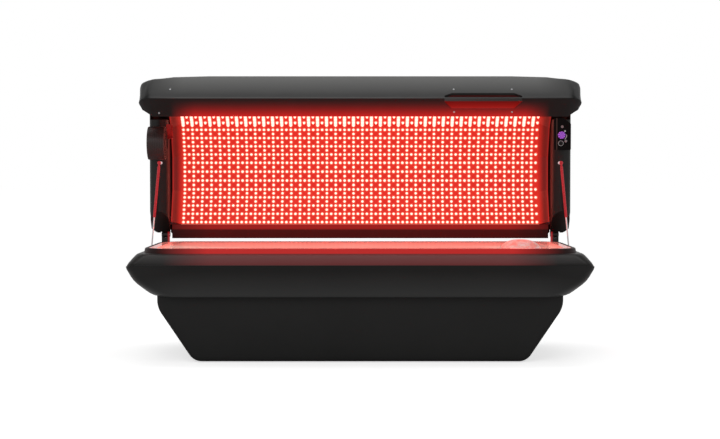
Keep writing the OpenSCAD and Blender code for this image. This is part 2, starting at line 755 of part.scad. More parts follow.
// Cross-section of the lip, and of the room that the shell leaves for it
function lip_outline(s) = let (a = lip_front(s), b = lip_back(s))
  [a + [3, 0], a + [14, 4.5], b + [-6, 6], b + [-6, 12], b + [0, 12], b];
function lip_seat(s) = let (a = lip_front(s), b = lip_back(s))
  [a + [-60, -40], a + [-60, -4], a + [2, 0.5], a + [18, 8], b + [0, 26], b + [0, -90]];

module front_lip() {
  color(black) canopy() difference() {
    loft(both_ways([for (s = canopy_slices) [canopy_l / 2 - s[0] - 1, lip_outline(s)]]));
    handle_slot();
  }
}

// Corners of the light field across the closed canopy, from the rear up and over to the front
facet_tilt = [64, 41, 16, -11, -36];
facet_w = facet_rows * led_pitch - 2;
field_start = [364, 621];
function field_joint(k) = k == 0 ? field_start
  : field_joint(k - 1) + facet_w * [-cos(facet_tilt[k - 1]), sin(facet_tilt[k - 1])];
// The same corners moved towards the shell by a distance
function field_back(k, d) =
  let (a = facet_tilt[max(k - 1, 0)], b = facet_tilt[min(k, 4)])
  field_joint(k) + d / cos((a - b) / 2) * [sin((a + b) / 2), cos((a + b) / 2)];

module front_apron() {
  top = field_joint(5);
  half = field_half + 44;
  color(red) canopy() along(-half, half)
    polygon([[lip_inner.x - 5, lip_inner.y + 12.3], [lip_inner.x - 2, lip_inner.y + 12.3],
             [top.x - 1, top.y - 3], [top.x - 5, top.y - 1]]);
}

module rear_rim() {
  half = field_half + 48;
  color([0.3, 0.05, 0.05]) canopy() difference() {
    along(-half, half) polygon(rounded([[field_start.x + 1, field_start.y - 1], [381, 600], [415, 571],
      [rim_back - touch, 620], [rim_back - touch, 640], [395, 640], [378, 630]], [0, 4, 4, 0, 0, 0, 0], 4));
    both_ends() translate([hinge_x, 0, 0]) along(-bracket_w / 2 - 4, bracket_w / 2 + 4) hinge_clear();
  }
}

jamb_in = field_half + 56;
jamb_out = canopy_l / 2 - 3;

module jamb(drum) {
  canopy() intersection() {
    difference() {
      jamb_turn() translate([0, 0, 600]) linear_extrude(600) polygon(rounded(
        [[jamb_in, 390], [jamb_in, 300], [jamb_in + 46, 272], [jamb_out, 300], [jamb_out, 390]], [0, 30, 30, 30, 0], 5));
      along(0, canopy_l) polygon([[-700, 300], [700, 300], [700, 569], [-700, 569]]);
      translate([hinge_x, 0, 0]) along(-bracket_w / 2 - 4, bracket_w / 2 + 4) hinge_clear();
      jamb_turn() translate(strut_top) rotate([-90, 0, 0]) cylinder(r = stud_r + touch, h = stud_l + 1);
      jamb_turn() translate(strut_top) rotate([-90, 0, 0]) cylinder(r = stud_flange + touch, h = stud_seat);
      if (drum) jamb_turn() {
        translate([jamb_in - 16, drum_y, drum_z]) rotate([0, 90, 0]) cylinder(r = drum_r + touch, h = 150);
        translate([duct_x - 1, duct_y - touch, duct_z - touch])
          cube([drum_x + 12 - duct_x, duct_d + 2 * touch, duct_h + 2 * touch]);
      }
      else jamb_turn() panel_local() translate([0, 0, -housing_d - touch]) linear_extrude(60) panel_outline(3 - touch);
    }
    canopy_form(canopy_wall + 0.5, -2);
  }
}

module end_plates() {
  t = 3.5;
  color(dark) canopy() intersection() {
    both_ends() along(jamb_out + touch, jamb_out + touch + t) translate([-600, 500]) square(1200);
    canopy_form(canopy_wall + 0.5, 3);
    jamb_turn() translate([-canopy_l, jamb_back + 1, 0]) cube([2 * canopy_l, 400, 2000]);
    translate([-canopy_l, -700, 604]) cube([2 * canopy_l, 1400, 600]);
  }
}

module jamb_left() { color(dark) mirror([1, 0, 0]) jamb(true); }
module jamb_right() { color(dark) jamb(false); }

rib_x = [for (k = [-2:2]) k * (field_half - 10) / 2];
rear_rail = [364, 650];
front_rail = [-462, 706];

module canopy_ribs() {
  t = 4;
  back = board_t + touch;
  color(steel) canopy() difference() {
    intersection() {
      for (x = rib_x) along(x - t / 2, x + t / 2) difference() {
        polygon(canopy_outline(0, 0, 0, 0, canopy_wall));
        polygon(concat([for (k = [0:5]) field_back(k, back)],
          [[lip_inner.x - 8, field_joint(5).y - 10], [lip_inner.x - 8, 500], [500, 500], [500, 640],
           [field_start.x + 16, 642]]));
      }
      canopy_form(canopy_wall + touch);
      translate([-canopy_l, -600, front_ridge.y + 30]) cube([2 * canopy_l, 1200, 500]);
    }
    for (p = [rear_rail, front_rail]) along(-canopy_l, canopy_l) translate(p - [0.2, 0.2]) square(30.4);
    along(handle_x0 - touch, handle_x1 + touch) translate([-700, 500])
      square([700 + cup_back + cup_wall + touch, cup_top + cup_wall + touch - 500]);
  }
}

module canopy_rails() {
  half = hinge_x + leaf_w / 2;
  color(steel) canopy() for (p = [rear_rail, front_rail]) {
    h = p == rear_rail ? half : rib_x[4] + 10;
    along(-h, h) translate(p) difference() {
      square(30);
      translate([3, 3]) square(24);
    }
  }
}

module canopy_led_boards() {
  l = 2 * field_half / boards_long;
  color(board_red) canopy() for (k = [0:4], b = [0:boards_long - 1]) {
    p = field_joint(k);
    translate([-field_half + b * l + board_gap / 2, p.x, p.y]) rotate([180 - facet_tilt[k], 0, 0])
      translate([0, 2, -board_t]) cube([l - board_gap, facet_w - 4, board_t]);
  }
}

// Thin strip between two rows of points, thickened outwards
module point_strip(a, b, off) {
  n = len(a);
  pts = concat(a, b, [for (p = a) p + off], [for (p = b) p + off]);
  polyhedron(pts, concat(
    [for (i = [0:n - 2]) each [[i, i + n, i + n + 1], [i, i + n + 1, i + 1]]],
    [for (i = [0:n - 2]) each [[i + 2 * n, i + 3 * n + 1, i + 3 * n], [i + 2 * n, i + 2 * n + 1, i + 3 * n + 1]]],
    [for (i = [0:n - 2]) each [[i, i + 1, i + 2 * n + 1], [i, i + 2 * n + 1, i + 2 * n]]],
    [for (i = [0:n - 2]) each [[i + n, i + 3 * n + 1, i + n + 1], [i + n, i + 3 * n, i + 3 * n + 1]]],
    [[0, 2 * n, 3 * n], [0, 3 * n, n], [n - 1, 2 * n - 1, 4 * n - 1], [n - 1, 4 * n - 1, 3 * n - 1]]));
}

module side_reflectors() {
  flare = 48;
  lift = 34;
  a = [for (k = [0:5]) let (p = field_joint(k)) [field_half - board_gap / 2 + touch, p.x, p.y]];
  b = [for (k = [0:5]) let (p = field_back(k, -lift)) [field_half + flare, p.x, p.y]];
  color(red) canopy() both_ends() point_strip(a, b, [3, 0, 0]);
}

module handle_bar() {
  bar = 20;
  color(black) canopy() along(handle_x0, handle_x1) polygon(rounded(
    [[front_ridge.x + 1.5, front_ridge.y + 1], [front_ridge.x + bar, front_ridge.y - 2],
     [front_ridge.x + bar + 2, front_ridge.y + bar - 4], [front_ridge.x + 6, front_ridge.y + bar]],
    [4, 5, 5, 5], 5));
}

cup_wall = 2.5;
cup_back = front_ridge.x + slot_lip + 10;
cup_top = front_ridge.y + slot_face + 10;

module handle_cup() {
  w = cup_wall;
  x0 = handle_x0;
  x1 = handle_x1;
  y0 = front_ridge.x + 18;
  y1 = cup_back;
  z1 = cup_top;
  color(dark) canopy() {
    along(x0, x1) polygon([[y1, front_ridge.y - 1.2], [y1 + w, front_ridge.y - 1.5], [y1 + w, z1 + w], [y0 + 6, z1 + w],
                           [y0 + 6, z1], [y1, z1]]);
    for (x = [x0, x1 - w]) along(x, x + w)
      polygon([[y0 + 8, front_ridge.y + 4], [y1, front_ridge.y + 1], [y1, z1], [y0 + 14, z1]]);
  }
}

drum_y = 222;
drum_z = 1075;
drum_x = canopy_l / 2 - 7 - drum_w;

module drum_place() {
  jamb_frame() translate([-drum_x, drum_y, drum_z]) rotate([0, -90, 0]) children();
}

module fan_drum() {
  wall = 3;
  rings = 9;
  color(dark) drum_place() difference() {
    union() {
      cylinder(r = drum_r - 2, h = drum_w);
      for (k = [0:rings - 1]) translate([0, 0, 6 + k * (drum_w - 16) / (rings - 1)]) cylinder(r = drum_r, h = 4);
    }
    translate([0, 0, -1]) cylinder(r = drum_r - wall - 2, h = drum_w - wall + 1);
    for (a = [0:30:330]) rotate([0, 0, a]) translate([30, 0, drum_w - wall - 1]) cylinder(r = 7, h = wall + 2);
  }
}

module fan_grille() {
  bar = 4;
  color(black) drum_place() linear_extrude(3) {
    for (r = [18:13:70]) difference() {
      circle(r = r + bar / 2);
      circle(r = r - bar / 2);
    }
    for (a = [0:60:120]) rotate([0, 0, a]) square([2 * drum_r - 14, bar], center = true);
    circle(r = 12);
    difference() {
      circle(r = drum_r - 5.3);
      circle(r = drum_r - 9);
    }
  }
}

module fan_motor() {
  color(steel) drum_place() {
    translate([0, 0, 44]) cylinder(r = 24, h = drum_w - 47);
    translate([0, 0, 14]) cylinder(r = 4, h = 32);
  }
}

module fan_impeller() {
  color(black) drum_place() translate([0, 0, 14]) axial_rotor(76, 22, 26, 4 + pin_gap);
}

duct_x = field_half + 38;
duct_y = 296;
duct_z = 1100;
duct_d = 60;
duct_h = 76;

module fan_duct() {
  w = 3;
  color([0.4, 0.06, 0.05]) jamb_frame() mirror([1, 0, 0]) difference() {
    translate([duct_x, duct_y, duct_z]) cube([drum_x + 10 - duct_x, duct_d, duct_h]);
    translate([duct_x - 1, duct_y + w, duct_z + w]) cube([200, duct_d - 2 * w, duct_h - 2 * w]);
    translate([duct_x - 5, drum_y, drum_z]) rotate([0, 90, 0]) cylinder(r = drum_r + touch, h = 200);
  }
}

panel_x = canopy_l / 2 - 51;
panel_y = 264;
panel_z = 1124;
panel_t = 4;
knob_at = [-5, -6];
button_up_at = [-1, 38];
button_low_at = [18, -37];
socket_at = [-8, -49];

housing_d = 26;

// Draws control pieces as (right, up, towards the user) on the panel's face
module panel_local() { translate([panel_x, panel_y, panel_z]) rotate([90, 0, 0]) children(); }
module panel_place() { jamb_frame() panel_local() children(); }

module panel_outline(inset) {
  offset(delta = -inset) polygon(rounded([[-panel_w / 2, -panel_h / 2], [panel_w / 2, -panel_h / 2],
    [panel_w / 2, panel_h / 2 - 30], [panel_w / 2 - 38, panel_h / 2], [-panel_w / 2, panel_h / 2]],
    [6, 6, 10, 10, 6]));
}

module panel_holes() {
  translate(knob_at) cylinder(r = 5 + pin_gap, h = 60, center = true);
  translate(button_up_at) cylinder(r = button_r + touch, h = 60, center = true);
  translate(button_low_at) cylinder(r = button_r + touch, h = 60, center = true);
  translate(socket_at) cylinder(r = 9, h = 60, center = true);
}

module control_panel() {
  color(black) panel_place() difference() {
    linear_extrude(panel_t) panel_outline(0);
    panel_holes();
  }
}

module control_housing() {
  color(dark) panel_place() difference() {
    translate([0, 0, -housing_d]) linear_extrude(housing_d) panel_outline(3);
    translate([0, 0, -housing_d + 3]) linear_extrude(housing_d) panel_outline(6);
  }
}

module selector_knob() {
  color([0.45, 0.2, 0.6]) panel_place() translate(knob_at) {
    translate([0, 0, panel_t + 1]) cylinder(r = knob_r, h = knob_h - 3);
    translate([0, 0, panel_t + knob_h - 2]) cylinder(r1 = knob_r, r2 = knob_r - 3, h = 3);
    translate([0, 0, -14]) cylinder(r = 5, h = panel_t + 16);
  }
}

module push_button(at) {
  panel_place() translate(at) {
    translate([0, 0, -4]) cylinder(r = button_r, h = panel_t + 4 + button_travel + 0.5);
    translate([0, 0, -3 - touch]) cylinder(r = button_r + 2, h = 3);
  }
}

module button_upper() { color(steel) push_button(button_up_at); }
module button_lower() { color(steel) push_button(button_low_at); }

module audio_socket() {
  color(black) panel_place() translate(socket_at) difference() {
    union() {
      translate([0, 0, -16]) cylinder(r = 9 - touch, h = panel_t + 16);
      translate([0, 0, panel_t]) cylinder(r = 11, h = 2);
    }
    translate([0, 0, -12]) cylinder(r = 3.2, h = 40);
  }
}

module strut_studs() {
  color(steel) jamb_frame() both_ends() translate(strut_top) {
    sphere(r = ball_r);
    rotate([-90, 0, 0]) cylinder(r = stud_r, h = stud_l);
    translate([0, stud_seat - 4, 0]) rotate([-90, 0, 0]) cylinder(r = stud_flange, h = 4);
  }
}

base_frame();
levelling_feet();
pedestal_cladding();
rear_vent_grilles();
mains_gland();
power_supplies();
bench_lower_shell();
bench_upper_shell();
bench_collar();
lying_sheet();
bench_ribs();
bench_led_boards();
bench_fan_frames();
bench_fan_left();
bench_fan_right();
headrest_pillow();
hinge_brackets();
hinge_pins();
strut_anchors();
canopy_shell();
front_lip();
front_apron();
rear_rim();
jamb_left();
jamb_right();
end_plates();
canopy_ribs();
canopy_rails();
canopy_led_boards();
side_reflectors();
hinge_leaves();
handle_bar();
handle_cup();
fan_drum();
fan_grille();
fan_duct();
fan_motor();
fan_impeller();
control_panel();
control_housing();
selector_knob();
button_upper();
button_lower();
audio_socket();
strut_studs();
strut_cylinder_left();
strut_cylinder_right();
strut_rod_left();
strut_rod_right();
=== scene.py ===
import math

import bmesh
import bpy
from mathutils import Matrix, Vector


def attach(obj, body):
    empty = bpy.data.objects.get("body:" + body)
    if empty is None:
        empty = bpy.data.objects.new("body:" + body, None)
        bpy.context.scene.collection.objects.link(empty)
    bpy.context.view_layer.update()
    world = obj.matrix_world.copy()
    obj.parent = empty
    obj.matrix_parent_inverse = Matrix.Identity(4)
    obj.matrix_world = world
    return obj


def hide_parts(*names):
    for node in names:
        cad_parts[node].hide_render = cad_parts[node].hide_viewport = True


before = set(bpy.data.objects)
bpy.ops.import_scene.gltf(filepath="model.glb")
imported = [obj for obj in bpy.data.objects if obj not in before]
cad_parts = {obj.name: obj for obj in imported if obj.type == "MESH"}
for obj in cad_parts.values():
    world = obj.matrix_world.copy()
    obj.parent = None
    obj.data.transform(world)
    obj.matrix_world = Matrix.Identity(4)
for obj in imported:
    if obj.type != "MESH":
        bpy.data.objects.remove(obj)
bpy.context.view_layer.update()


# The room: a pale floor that runs out into a white surround, one wide softbox high behind
# the bed, one in front of it, and the camera where the photographer stood.
class Tone:
    """One socket of a node tree, so that surface patterns can be written as plain sums."""

    def __init__(self, tree, socket):
        self.tree, self.socket = tree, socket

    def node(self, kind, settings=None, sockets=None, out=0):
        made = self.tree.nodes.new(kind)
        for name, value in (settings or {}).items():
            if name == "stops":
                stops = made.color_ramp.elements
                while len(stops) < len(value):
                    stops.new(0.5)
                for stop, (place, colour) in zip(stops, value):
                    stop.position, stop.color = place, (*colour, 1)
            else:
                setattr(made, name, value)
        for name, value in (sockets or {}).items():
            if isinstance(value, Tone):
                self.tree.links.new(value.socket, made.inputs[name])
            else:
                made.inputs[name].default_value = value
        return Tone(self.tree, made.outputs[out])

    def sum(self, operation, a, b=0.0):
        return self.node("ShaderNodeMath", {"operation": operation}, {0: a, 1: b})

    def __add__(self, other):
        return self.sum("ADD", self, other)

    def __radd__(self, other):
        return self.sum("ADD", other, self)

    def __sub__(self, other):
        return self.sum("SUBTRACT", self, other)

    def __rsub__(self, other):
        return self.sum("SUBTRACT", other, self)

    def __mul__(self, other):
        return self.sum("MULTIPLY", self, other)

    def __rmul__(self, other):
        return self.sum("MULTIPLY", other, self)

    def __pow__(self, other):
        return self.sum("POWER", self, other)

    def __gt__(self, other):
        return self.sum("GREATER_THAN", self, other)

    def noise(self, size, detail=2.0, roughness=0.5):
        return self.node("ShaderNodeTexNoise", {}, {
            "Vector": self, "Scale": 1 / size, "Detail": detail, "Roughness": roughness})

    def ramp(self, low, high):
        return self.node("ShaderNodeMapRange", {"clamp": True}, {"Value": self, "From Min": low, "From Max": high})

    def blend(self, colour_a, colour_b):
        return self.node("ShaderNodeMix", {"data_type": "RGBA"}, {
            0: self, 6: colour_a if isinstance(colour_a, Tone) else (*colour_a, 1),
            7: colour_b if isinstance(colour_b, Tone) else (*colour_b, 1)}, 2)

    def gradient(self, *stops):
        """Colour along a value, from (place, colour) stops."""
        return self.node("ShaderNodeValToRGB", {"stops": stops}, {0: self})

    def relief(self, depth, strength=1.0):
        return self.node("ShaderNodeBump", {}, {"Height": self, "Distance": depth, "Strength": strength})

    def along(self, axis):
        return self.node("ShaderNodeSeparateXYZ", {}, {0: self}, "XYZ".index(axis))

    def aside(self):
        """Distance from the middle of the bed, along its length."""
        return self.along("X").sum("ABSOLUTE", self.along("X"))

    def stretched(self, x, y, z):
        return self.node("ShaderNodeMapping", {"vector_type": "POINT"}, {"Vector": self, "Scale": (x, y, z)})


def finish(name, pattern=None, **fixed):
    """A material whose even values are set on the shader and whose pattern varies the rest."""
    material = bpy.data.materials.new(name)
    material.use_nodes = True
    tree = material.node_tree
    shader = tree.nodes["Principled BSDF"]
    for key, value in fixed.items():
        shader.inputs[key.replace("_", " ")].default_value = (*value, 1) if isinstance(value, tuple) else value
    if pattern:
        place = Tone(tree, tree.nodes.new("ShaderNodeTexCoord").outputs["Object"])
        for key, tone in pattern(place).items():
            tree.links.new(tone.socket, shader.inputs[key.replace("_", " ")])
    return material


def dress(material, *nodes):
    """Puts a material on carried-over pieces; their shapes stay as they are."""
    for name in nodes:
        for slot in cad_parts[name].material_slots:
            slot.material = material


def linked(name, data):
    """A new object in the scene that carries the data."""
    made = bpy.data.objects.new(name, data)
    bpy.context.scene.collection.objects.link(made)
    return made


def floor_look():
    """Matt and pale, but near white to the camera itself, so that only the shadow shows."""
    material = bpy.data.materials.new("studio_floor")
    material.use_nodes = True
    tree = material.node_tree
    tree.nodes.clear()
    seen = Tone(tree, tree.nodes.new("ShaderNodeLightPath").outputs["Is Camera Ray"])
    matt = seen.node("ShaderNodeBsdfDiffuse", {}, {"Color": (0.82, 0.82, 0.82, 1)})
    white = seen.node("ShaderNodeBsdfDiffuse", {}, {"Color": (0.9, 0.9, 0.9, 1)})
    glow = seen.node("ShaderNodeEmission", {}, {"Color": (1, 1, 1, 1), "Strength": 0.63})
    both = seen.node("ShaderNodeAddShader", {}, {0: white, 1: glow})
    picked = seen.node("ShaderNodeMixShader", {}, {0: seen, 1: matt, 2: both})
    out = tree.nodes.new("ShaderNodeOutputMaterial")
    tree.links.new(picked.socket, out.inputs["Surface"])
    return material


floor_mesh = bpy.data.meshes.new("studio_floor")
floor_mesh.from_pydata([(-60, -60, 0), (60, -60, 0), (60, 60, 0), (-60, 60, 0)], [], [(0, 1, 2, 3)])
floor = linked("studio_floor", floor_mesh)
floor_mesh.materials.append(floor_look())

world = bpy.data.worlds.new("studio")
bpy.context.scene.world = world
world.use_nodes = True
world.node_tree.nodes.clear()
rays = world.node_tree.nodes.new("ShaderNodeLightPath")
camera_ray = Tone(world.node_tree, rays.outputs["Is Camera Ray"])
shown = camera_ray.sum("MAXIMUM", camera_ray, Tone(world.node_tree, rays.outputs["Is Transmission Ray"]))
mirrored = Tone(world.node_tree, rays.outputs["Is Glossy Ray"])
height = Tone(world.node_tree, world.node_tree.nodes.new("ShaderNodeTexCoord").outputs["Generated"]).along("Z")
room_light = 0.42
studio = height.ramp(0.66, 0.45) * 0.5 + height.ramp(0.76, 0.93) * 0.9 - height.ramp(0.94, 0.99) * 0.5 + 0.08
sky = camera_ray.node("ShaderNodeBackground", {}, {
    "Color": (1, 1, 1, 1),
    "Strength": camera_ray.sum("MAXIMUM", shown, mirrored * (studio - room_light) + room_light)})
world_out = world.node_tree.nodes.new("ShaderNodeOutputWorld")
world.node_tree.links.new(sky.socket, world_out.inputs["Surface"])


def softbox(name, place, aim, width, height, power):
    lamp = bpy.data.lights.new(name, "AREA")
    lamp.shape, lamp.size, lamp.size_y, lamp.energy = "RECTANGLE", width, height, power
    holder = linked(name, lamp)
    holder.location = place
    holder.rotation_euler = (Vector(aim) - Vector(place)).to_track_quat("-Z", "Y").to_euler()


softbox("overhead_box", (0, 0.75, 4.6), (0, 0, 1.3), 5.2, 2.0, 40)
softbox("front_box", (-1.5, -6.5, 4.6), (0, 0, 0.5), 4.0, 2.5, 60)

camera_lens = bpy.data.cameras.new("camera")
camera_lens.lens, camera_lens.sensor_width, camera_lens.sensor_fit = 78.4, 36, "HORIZONTAL"
camera_tilt = 1.88
camera = linked("camera", camera_lens)
camera.location = (-0.001, -8.028, 0.945)
camera.rotation_euler = (math.radians(90 - camera_tilt), 0, 0)
bpy.context.scene.camera = camera
bpy.context.scene.view_settings.view_transform = "Standard"


# Base frame: welded square steel tube with a baked satin paint, standing on turned levelling
# feet with rubber pads, and the zinc-cased power supplies on a tray across its lower rails.
def baked_paint(place):
    grain = place.noise(0.0016, 3)
    cloud = place.noise(0.16, 3)
    return {"Base Color": cloud.ramp(0.3, 0.7).blend((0.016, 0.016, 0.017), (0.024, 0.024, 0.025)),
            "Roughness": 0.42 + cloud * 0.1, "Normal": grain.relief(0.00008, 0.6)}


frame_paint = finish("frame_paint", baked_paint, Specular_IOR_Level=0.4)
dress(frame_paint, "base_frame", "bench_fan_frames")


def moulded_rubber(place):
    return {"Base Color": place.noise(0.03, 3).blend((0.016, 0.016, 0.016), (0.03, 0.03, 0.029)),
            "Roughness": 0.62 + place.noise(0.004, 2) * 0.15, "Normal": place.noise(0.0012, 2).relief(0.0001, 0.5)}


dress(finish("foot_rubber", moulded_rubber), "levelling_feet")


def zinc_sheet(place):
    spangle = place.node("ShaderNodeTexVoronoi", {}, {"Vector": place, "Scale": 90.0})
    return {"Base Color": spangle.blend((0.5, 0.51, 0.53), (0.64, 0.65, 0.66)),
            "Roughness": 0.3 + spangle * 0.25, "Normal": place.noise(0.02, 2).relief(0.0002, 0.3)}


zinc = finish("zinc_plate", zinc_sheet, Metallic=0.9)
dress(zinc, "power_supplies", "bench_ribs", "canopy_ribs", "canopy_rails", "hinge_pins", "strut_anchors",
      "fan_motor")


# Pedestal: a steel skirt round the frame, folded with soft edges and powder coated satin black,
# with louvred grilles let into its back and a nylon gland for the mains lead.
def powder_coat(place):
    grain = place.noise(0.0022, 4, 0.6)
    drift = place.noise(0.35, 3)
    return {"Base Color": drift.ramp(0.3, 0.7).blend((0.0095, 0.0095, 0.0092), (0.0135, 0.0135, 0.013)),
            "Roughness": 0.44 + drift * 0.1 + grain * 0.06, "Normal": grain.relief(0.00012, 0.5)}


skirt_coat = finish("powder_coat", powder_coat, Specular_IOR_Level=0.3)
dress(skirt_coat, "rear_vent_grilles", "mains_gland")


def merged(node):
    """The node's own mesh with the corners that its faces share made one."""
    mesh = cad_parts[node].data.copy()
    shape = bmesh.new()
    shape.from_mesh(mesh)
    bmesh.ops.remove_doubles(shape, verts=shape.verts, dist=0.00005)
    shape.to_mesh(mesh)
    shape.free()
    return mesh


def tidy_faces(mesh, material, angle=35):
    """Faces outwards, smooth up to an angle, one material."""
    shape = bmesh.new()
    shape.from_mesh(mesh)
    bmesh.ops.recalc_face_normals(shape, faces=shape.faces)
    for edge in shape.edges:
        edge.smooth = len(edge.link_faces) == 2 and edge.calc_face_angle(0) < math.radians(angle)
    for face in shape.faces:
        face.smooth = True
    shape.to_mesh(mesh)
    shape.free()
    mesh.materials.clear()
    mesh.materials.append(material)


def piece(name, mesh, body, *stands_for):
    """Puts a mesh on a body, in the place of the named nodes if any are given."""
    made = linked(name, mesh)
    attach(made, body)
    if stands_for:
        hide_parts(*stands_for)
    return made


skirt_front, skirt_bulge = -0.2, 0.022
skirt = merged("pedestal_cladding")
for point in skirt.vertices:
    if point.co.y < skirt_front:
        point.co.y -= skirt_bulge
tidy_faces(skirt, skirt_coat)
piece("pedestal_skirt", skirt, "bench", "pedestal_cladding")


# Bench mouldings: two vacuum-formed acrylic-capped shells, gloss black below the ridge and a
# shade greyer above it, with the faint waviness and hairline scuffs of formed sheet.
def formed_shell(dark, pale, base_rough):
    def pattern(place):
        wave = place.noise(0.09, 2)
        scuff = place.stretched(1, 9, 9).noise(0.012, 3, 0.7)
        dust = place.noise(0.0035, 2) > 0.72
        tint = place.noise(0.4, 2).ramp(0.35, 0.65).blend(dark, pale)
        return {"Base Color": (dust * 0.35).blend(tint, (0.05, 0.05, 0.05)),
                "Roughness": base_rough + wave * 0.06 + scuff.ramp(0.55, 0.8) * 0.08 + dust * 0.12,
                "Normal": (wave + place.noise(0.004, 2) * 0.02).relief(0.0006, 0.35)}
    return pattern


bench_mid_y = -0.028
ridge_z = 0.484
corner_steps = 12


def ring(half_x, front, rear, radius, z):
    """Outline of the bench at one height: a rectangle with round corners, in metres."""
    points = []
    for sx, sy, start in ((1, rear, 0), (-1, rear, 90), (-1, front, 180), (1, front, 270)):
        middle = (sx * (half_x - radius), sy - math.copysign(radius, sy))
        for k in range(corner_steps + 1):
            a = math.radians(start + 90 / corner_steps * k)
            points.append((middle[0] + radius * math.cos(a), middle[1] + radius * math.sin(a) + bench_mid_y, z))
    return points


def lofted(name, rings, closed=True):
    """Skin over rings of equal length; closed joins the last ring to the first."""
    mesh = bpy.data.meshes.new(name)
    n = len(rings[0])
    faces = []
    for j in range(len(rings) if closed else len(rings) - 1):
        here, there = j * n, (j + 1) % len(rings) * n
        faces += [(here + k, here + (k + 1) % n, there + (k + 1) % n, there + k) for k in range(n)]
    if not closed:
        faces += [tuple(range(n))[::-1], tuple(range((len(rings) - 1) * n, len(rings) * n))]
    mesh.from_pydata([point for one in rings for point in one], [], faces)
    return mesh


def box(low, high):
    """Block between two opposite corners."""
    mesh = bpy.data.meshes.new("box")
    xs, ys, zs = zip(low, high)
    mesh.from_pydata([(x, y, z) for x in xs for y in ys for z in zs], [], [
        (0, 1, 3, 2), (4, 6, 7, 5), (0, 4, 5, 1), (2, 3, 7, 6), (0, 2, 6, 4), (1, 5, 7, 3)])
    return mesh


def upright(x, y, radius, low, high, sides=48):
    """Standing cylinder between two heights."""
    turn = [(x + radius * math.cos(a), y + radius * math.sin(a))
            for a in (2 * math.pi * k / sides for k in range(sides))]
    return lofted("upright", [[(u, v, z) for u, v in turn] for z in (low, high)], False)


def plain_mesh(holder):
    """The object's mesh with its modifiers worked into it."""
    return bpy.data.meshes.new_from_object(holder.evaluated_get(bpy.context.evaluated_depsgraph_get()))


def cut_out(mesh, *holes):
    """The mesh with the solids of the other meshes taken away."""
    kept = linked("kept", mesh)
    tools = []
    for hole in holes:
        tidy_faces(hole, None)
        tools.append(linked("tool", hole))
        modifier = kept.modifiers.new("cut", "BOOLEAN")
        modifier.operation, modifier.solver, modifier.object = "DIFFERENCE", "EXACT", tools[-1]
    bpy.context.view_layer.update()
    plain = plain_mesh(kept)
    for spent in [kept] + tools:
        bpy.data.objects.remove(spent)
    return plain


def hull_look(place):
    """Gloss black with a painted glow that lifts it a shade towards its lower edge and its ends, standing for the
    floor's reflection.
    """
    look = formed_shell((0.007, 0.007, 0.0068), (0.0095, 0.0095, 0.009), 0.26)(place)
    low = place.along("Z").ramp(0.45, 0.33)
    end = place.aside().ramp(0.85, 1.12)
    # Painted light: this emission brightens the lower edge and the ends like a reflection of the pale floor.
    lift = low.sum("MAXIMUM", low, end * 0.4) * (1 - end * 0.5)
    look["Emission Color"] = lift.blend((0, 0, 0), (0.018, 0.018, 0.0178))
    return look


hull_black = finish("hull_black", hull_look, Specular_IOR_Level=0.25, Emission_Strength=1.0)
# Section of the hull below the ridge: how far down, and how far in from the bench's end.
hull_section = [(0, 0), (0.006, 0.0006), (0.018, 0.0035), (0.035, 0.011), (0.058, 0.021), (0.08, 0.033),
                (0.1, 0.049), (0.12, 0.07), (0.136, 0.088), (0.149, 0.104), (0.158, 0.12), (0.162, 0.134),
                (0.1625, 0.146), (0.156, 0.158)]
hull_wall = 0.006


def hull_ring(drop, inset, wall):
    """Outline of the hull a drop below the ridge, drawn in by a wall for its inner side."""
    return ring(1.13 - inset - wall, -0.5 + inset * 0.36 + wall, 0.5 - inset - wall,
                0.05 + inset * 0.6, ridge_z - drop + (wall if drop > 0.1 else 0))


def dipped(mesh):
    """Lowers the ridge a little towards both ends."""
    for point in mesh.vertices:
        end = min(max((abs(point.co.x) - 0.98) / 0.15, 0), 1) ** 2
        above = point.co.z - ridge_z
        point.co.z -= 0.013 * end * max(0, 1 - (above / 0.047 if above > 0 else -above / 0.12))
    return mesh


hull = lofted("hull", [hull_ring(d, i, 0) for d, i in hull_section], False)
hollow = lofted("hollow", [hull_ring(-0.02, 0, hull_wall)]
                + [hull_ring(d, i, hull_wall) for d, i in hull_section], False)
for made in (hull, hollow):
    tidy_faces(made, hull_black)
fan_x, fan_hole_radius = 0.384, 0.05
fan_holes = [upright(x, bench_mid_y, fan_hole_radius, 0.3, 0.36) for x in (fan_x, -fan_x)]
lower_shell = cut_out(hull, hollow, *fan_holes)
tidy_faces(dipped(lower_shell), hull_black)
piece("bench_hull", lower_shell, "bench", "bench_lower_shell")


def band_look(place):
    """The formed sheet's own grey, with painted red light where the sheet above spills over its middle."""
    look = formed_shell((0.014, 0.0132, 0.013), (0.019, 0.0178, 0.0175), 0.3)(place)
    reach = place.aside().ramp(0.95, 0.72)
    front = place.along("Y").ramp(-0.3, -0.42)
    look["Emission Color"] = (reach * front).blend((0.004, 0.0038, 0.0035), (0.1, 0.014, 0.014))
    return look


def collar_look(place):
    """Black, with painted red light along its front, standing for the light of the sheet."""
    look = formed_shell((0.009, 0.007, 0.0068), (0.012, 0.009, 0.0088), 0.34)(place)
    reach = place.aside().ramp(1.0, 0.74) ** 1.4
    front = place.along("Y").ramp(-0.36, -0.44)
    look["Emission Color"] = (reach * front).blend((0.01, 0.003, 0.003), (0.46, 0.016, 0.014))
    return look


band_grey = finish("band_grey", band_look, Specular_IOR_Level=0.17, Emission_Strength=1.0)
# Section of the band above the ridge: how far up, and how far in from the bench's front edge.
band_section = [(0, 0), (0.0035, 0.0012), (0.012, 0.009), (0.028, 0.0285), (0.038, 0.041), (0.044, 0.05),
                (0.047, 0.06)]
band_wall = 0.006


def band_ring(rise, inset, wall):
    """Outline of the band a rise above the ridge, drawn in by a wall for its inner side."""
    return ring(1.126 - wall - inset * 0.8, -0.496 + wall + inset, 0.496 - wall - inset,
                0.047 - wall + inset * 0.5, ridge_z + max(rise - wall, 0))


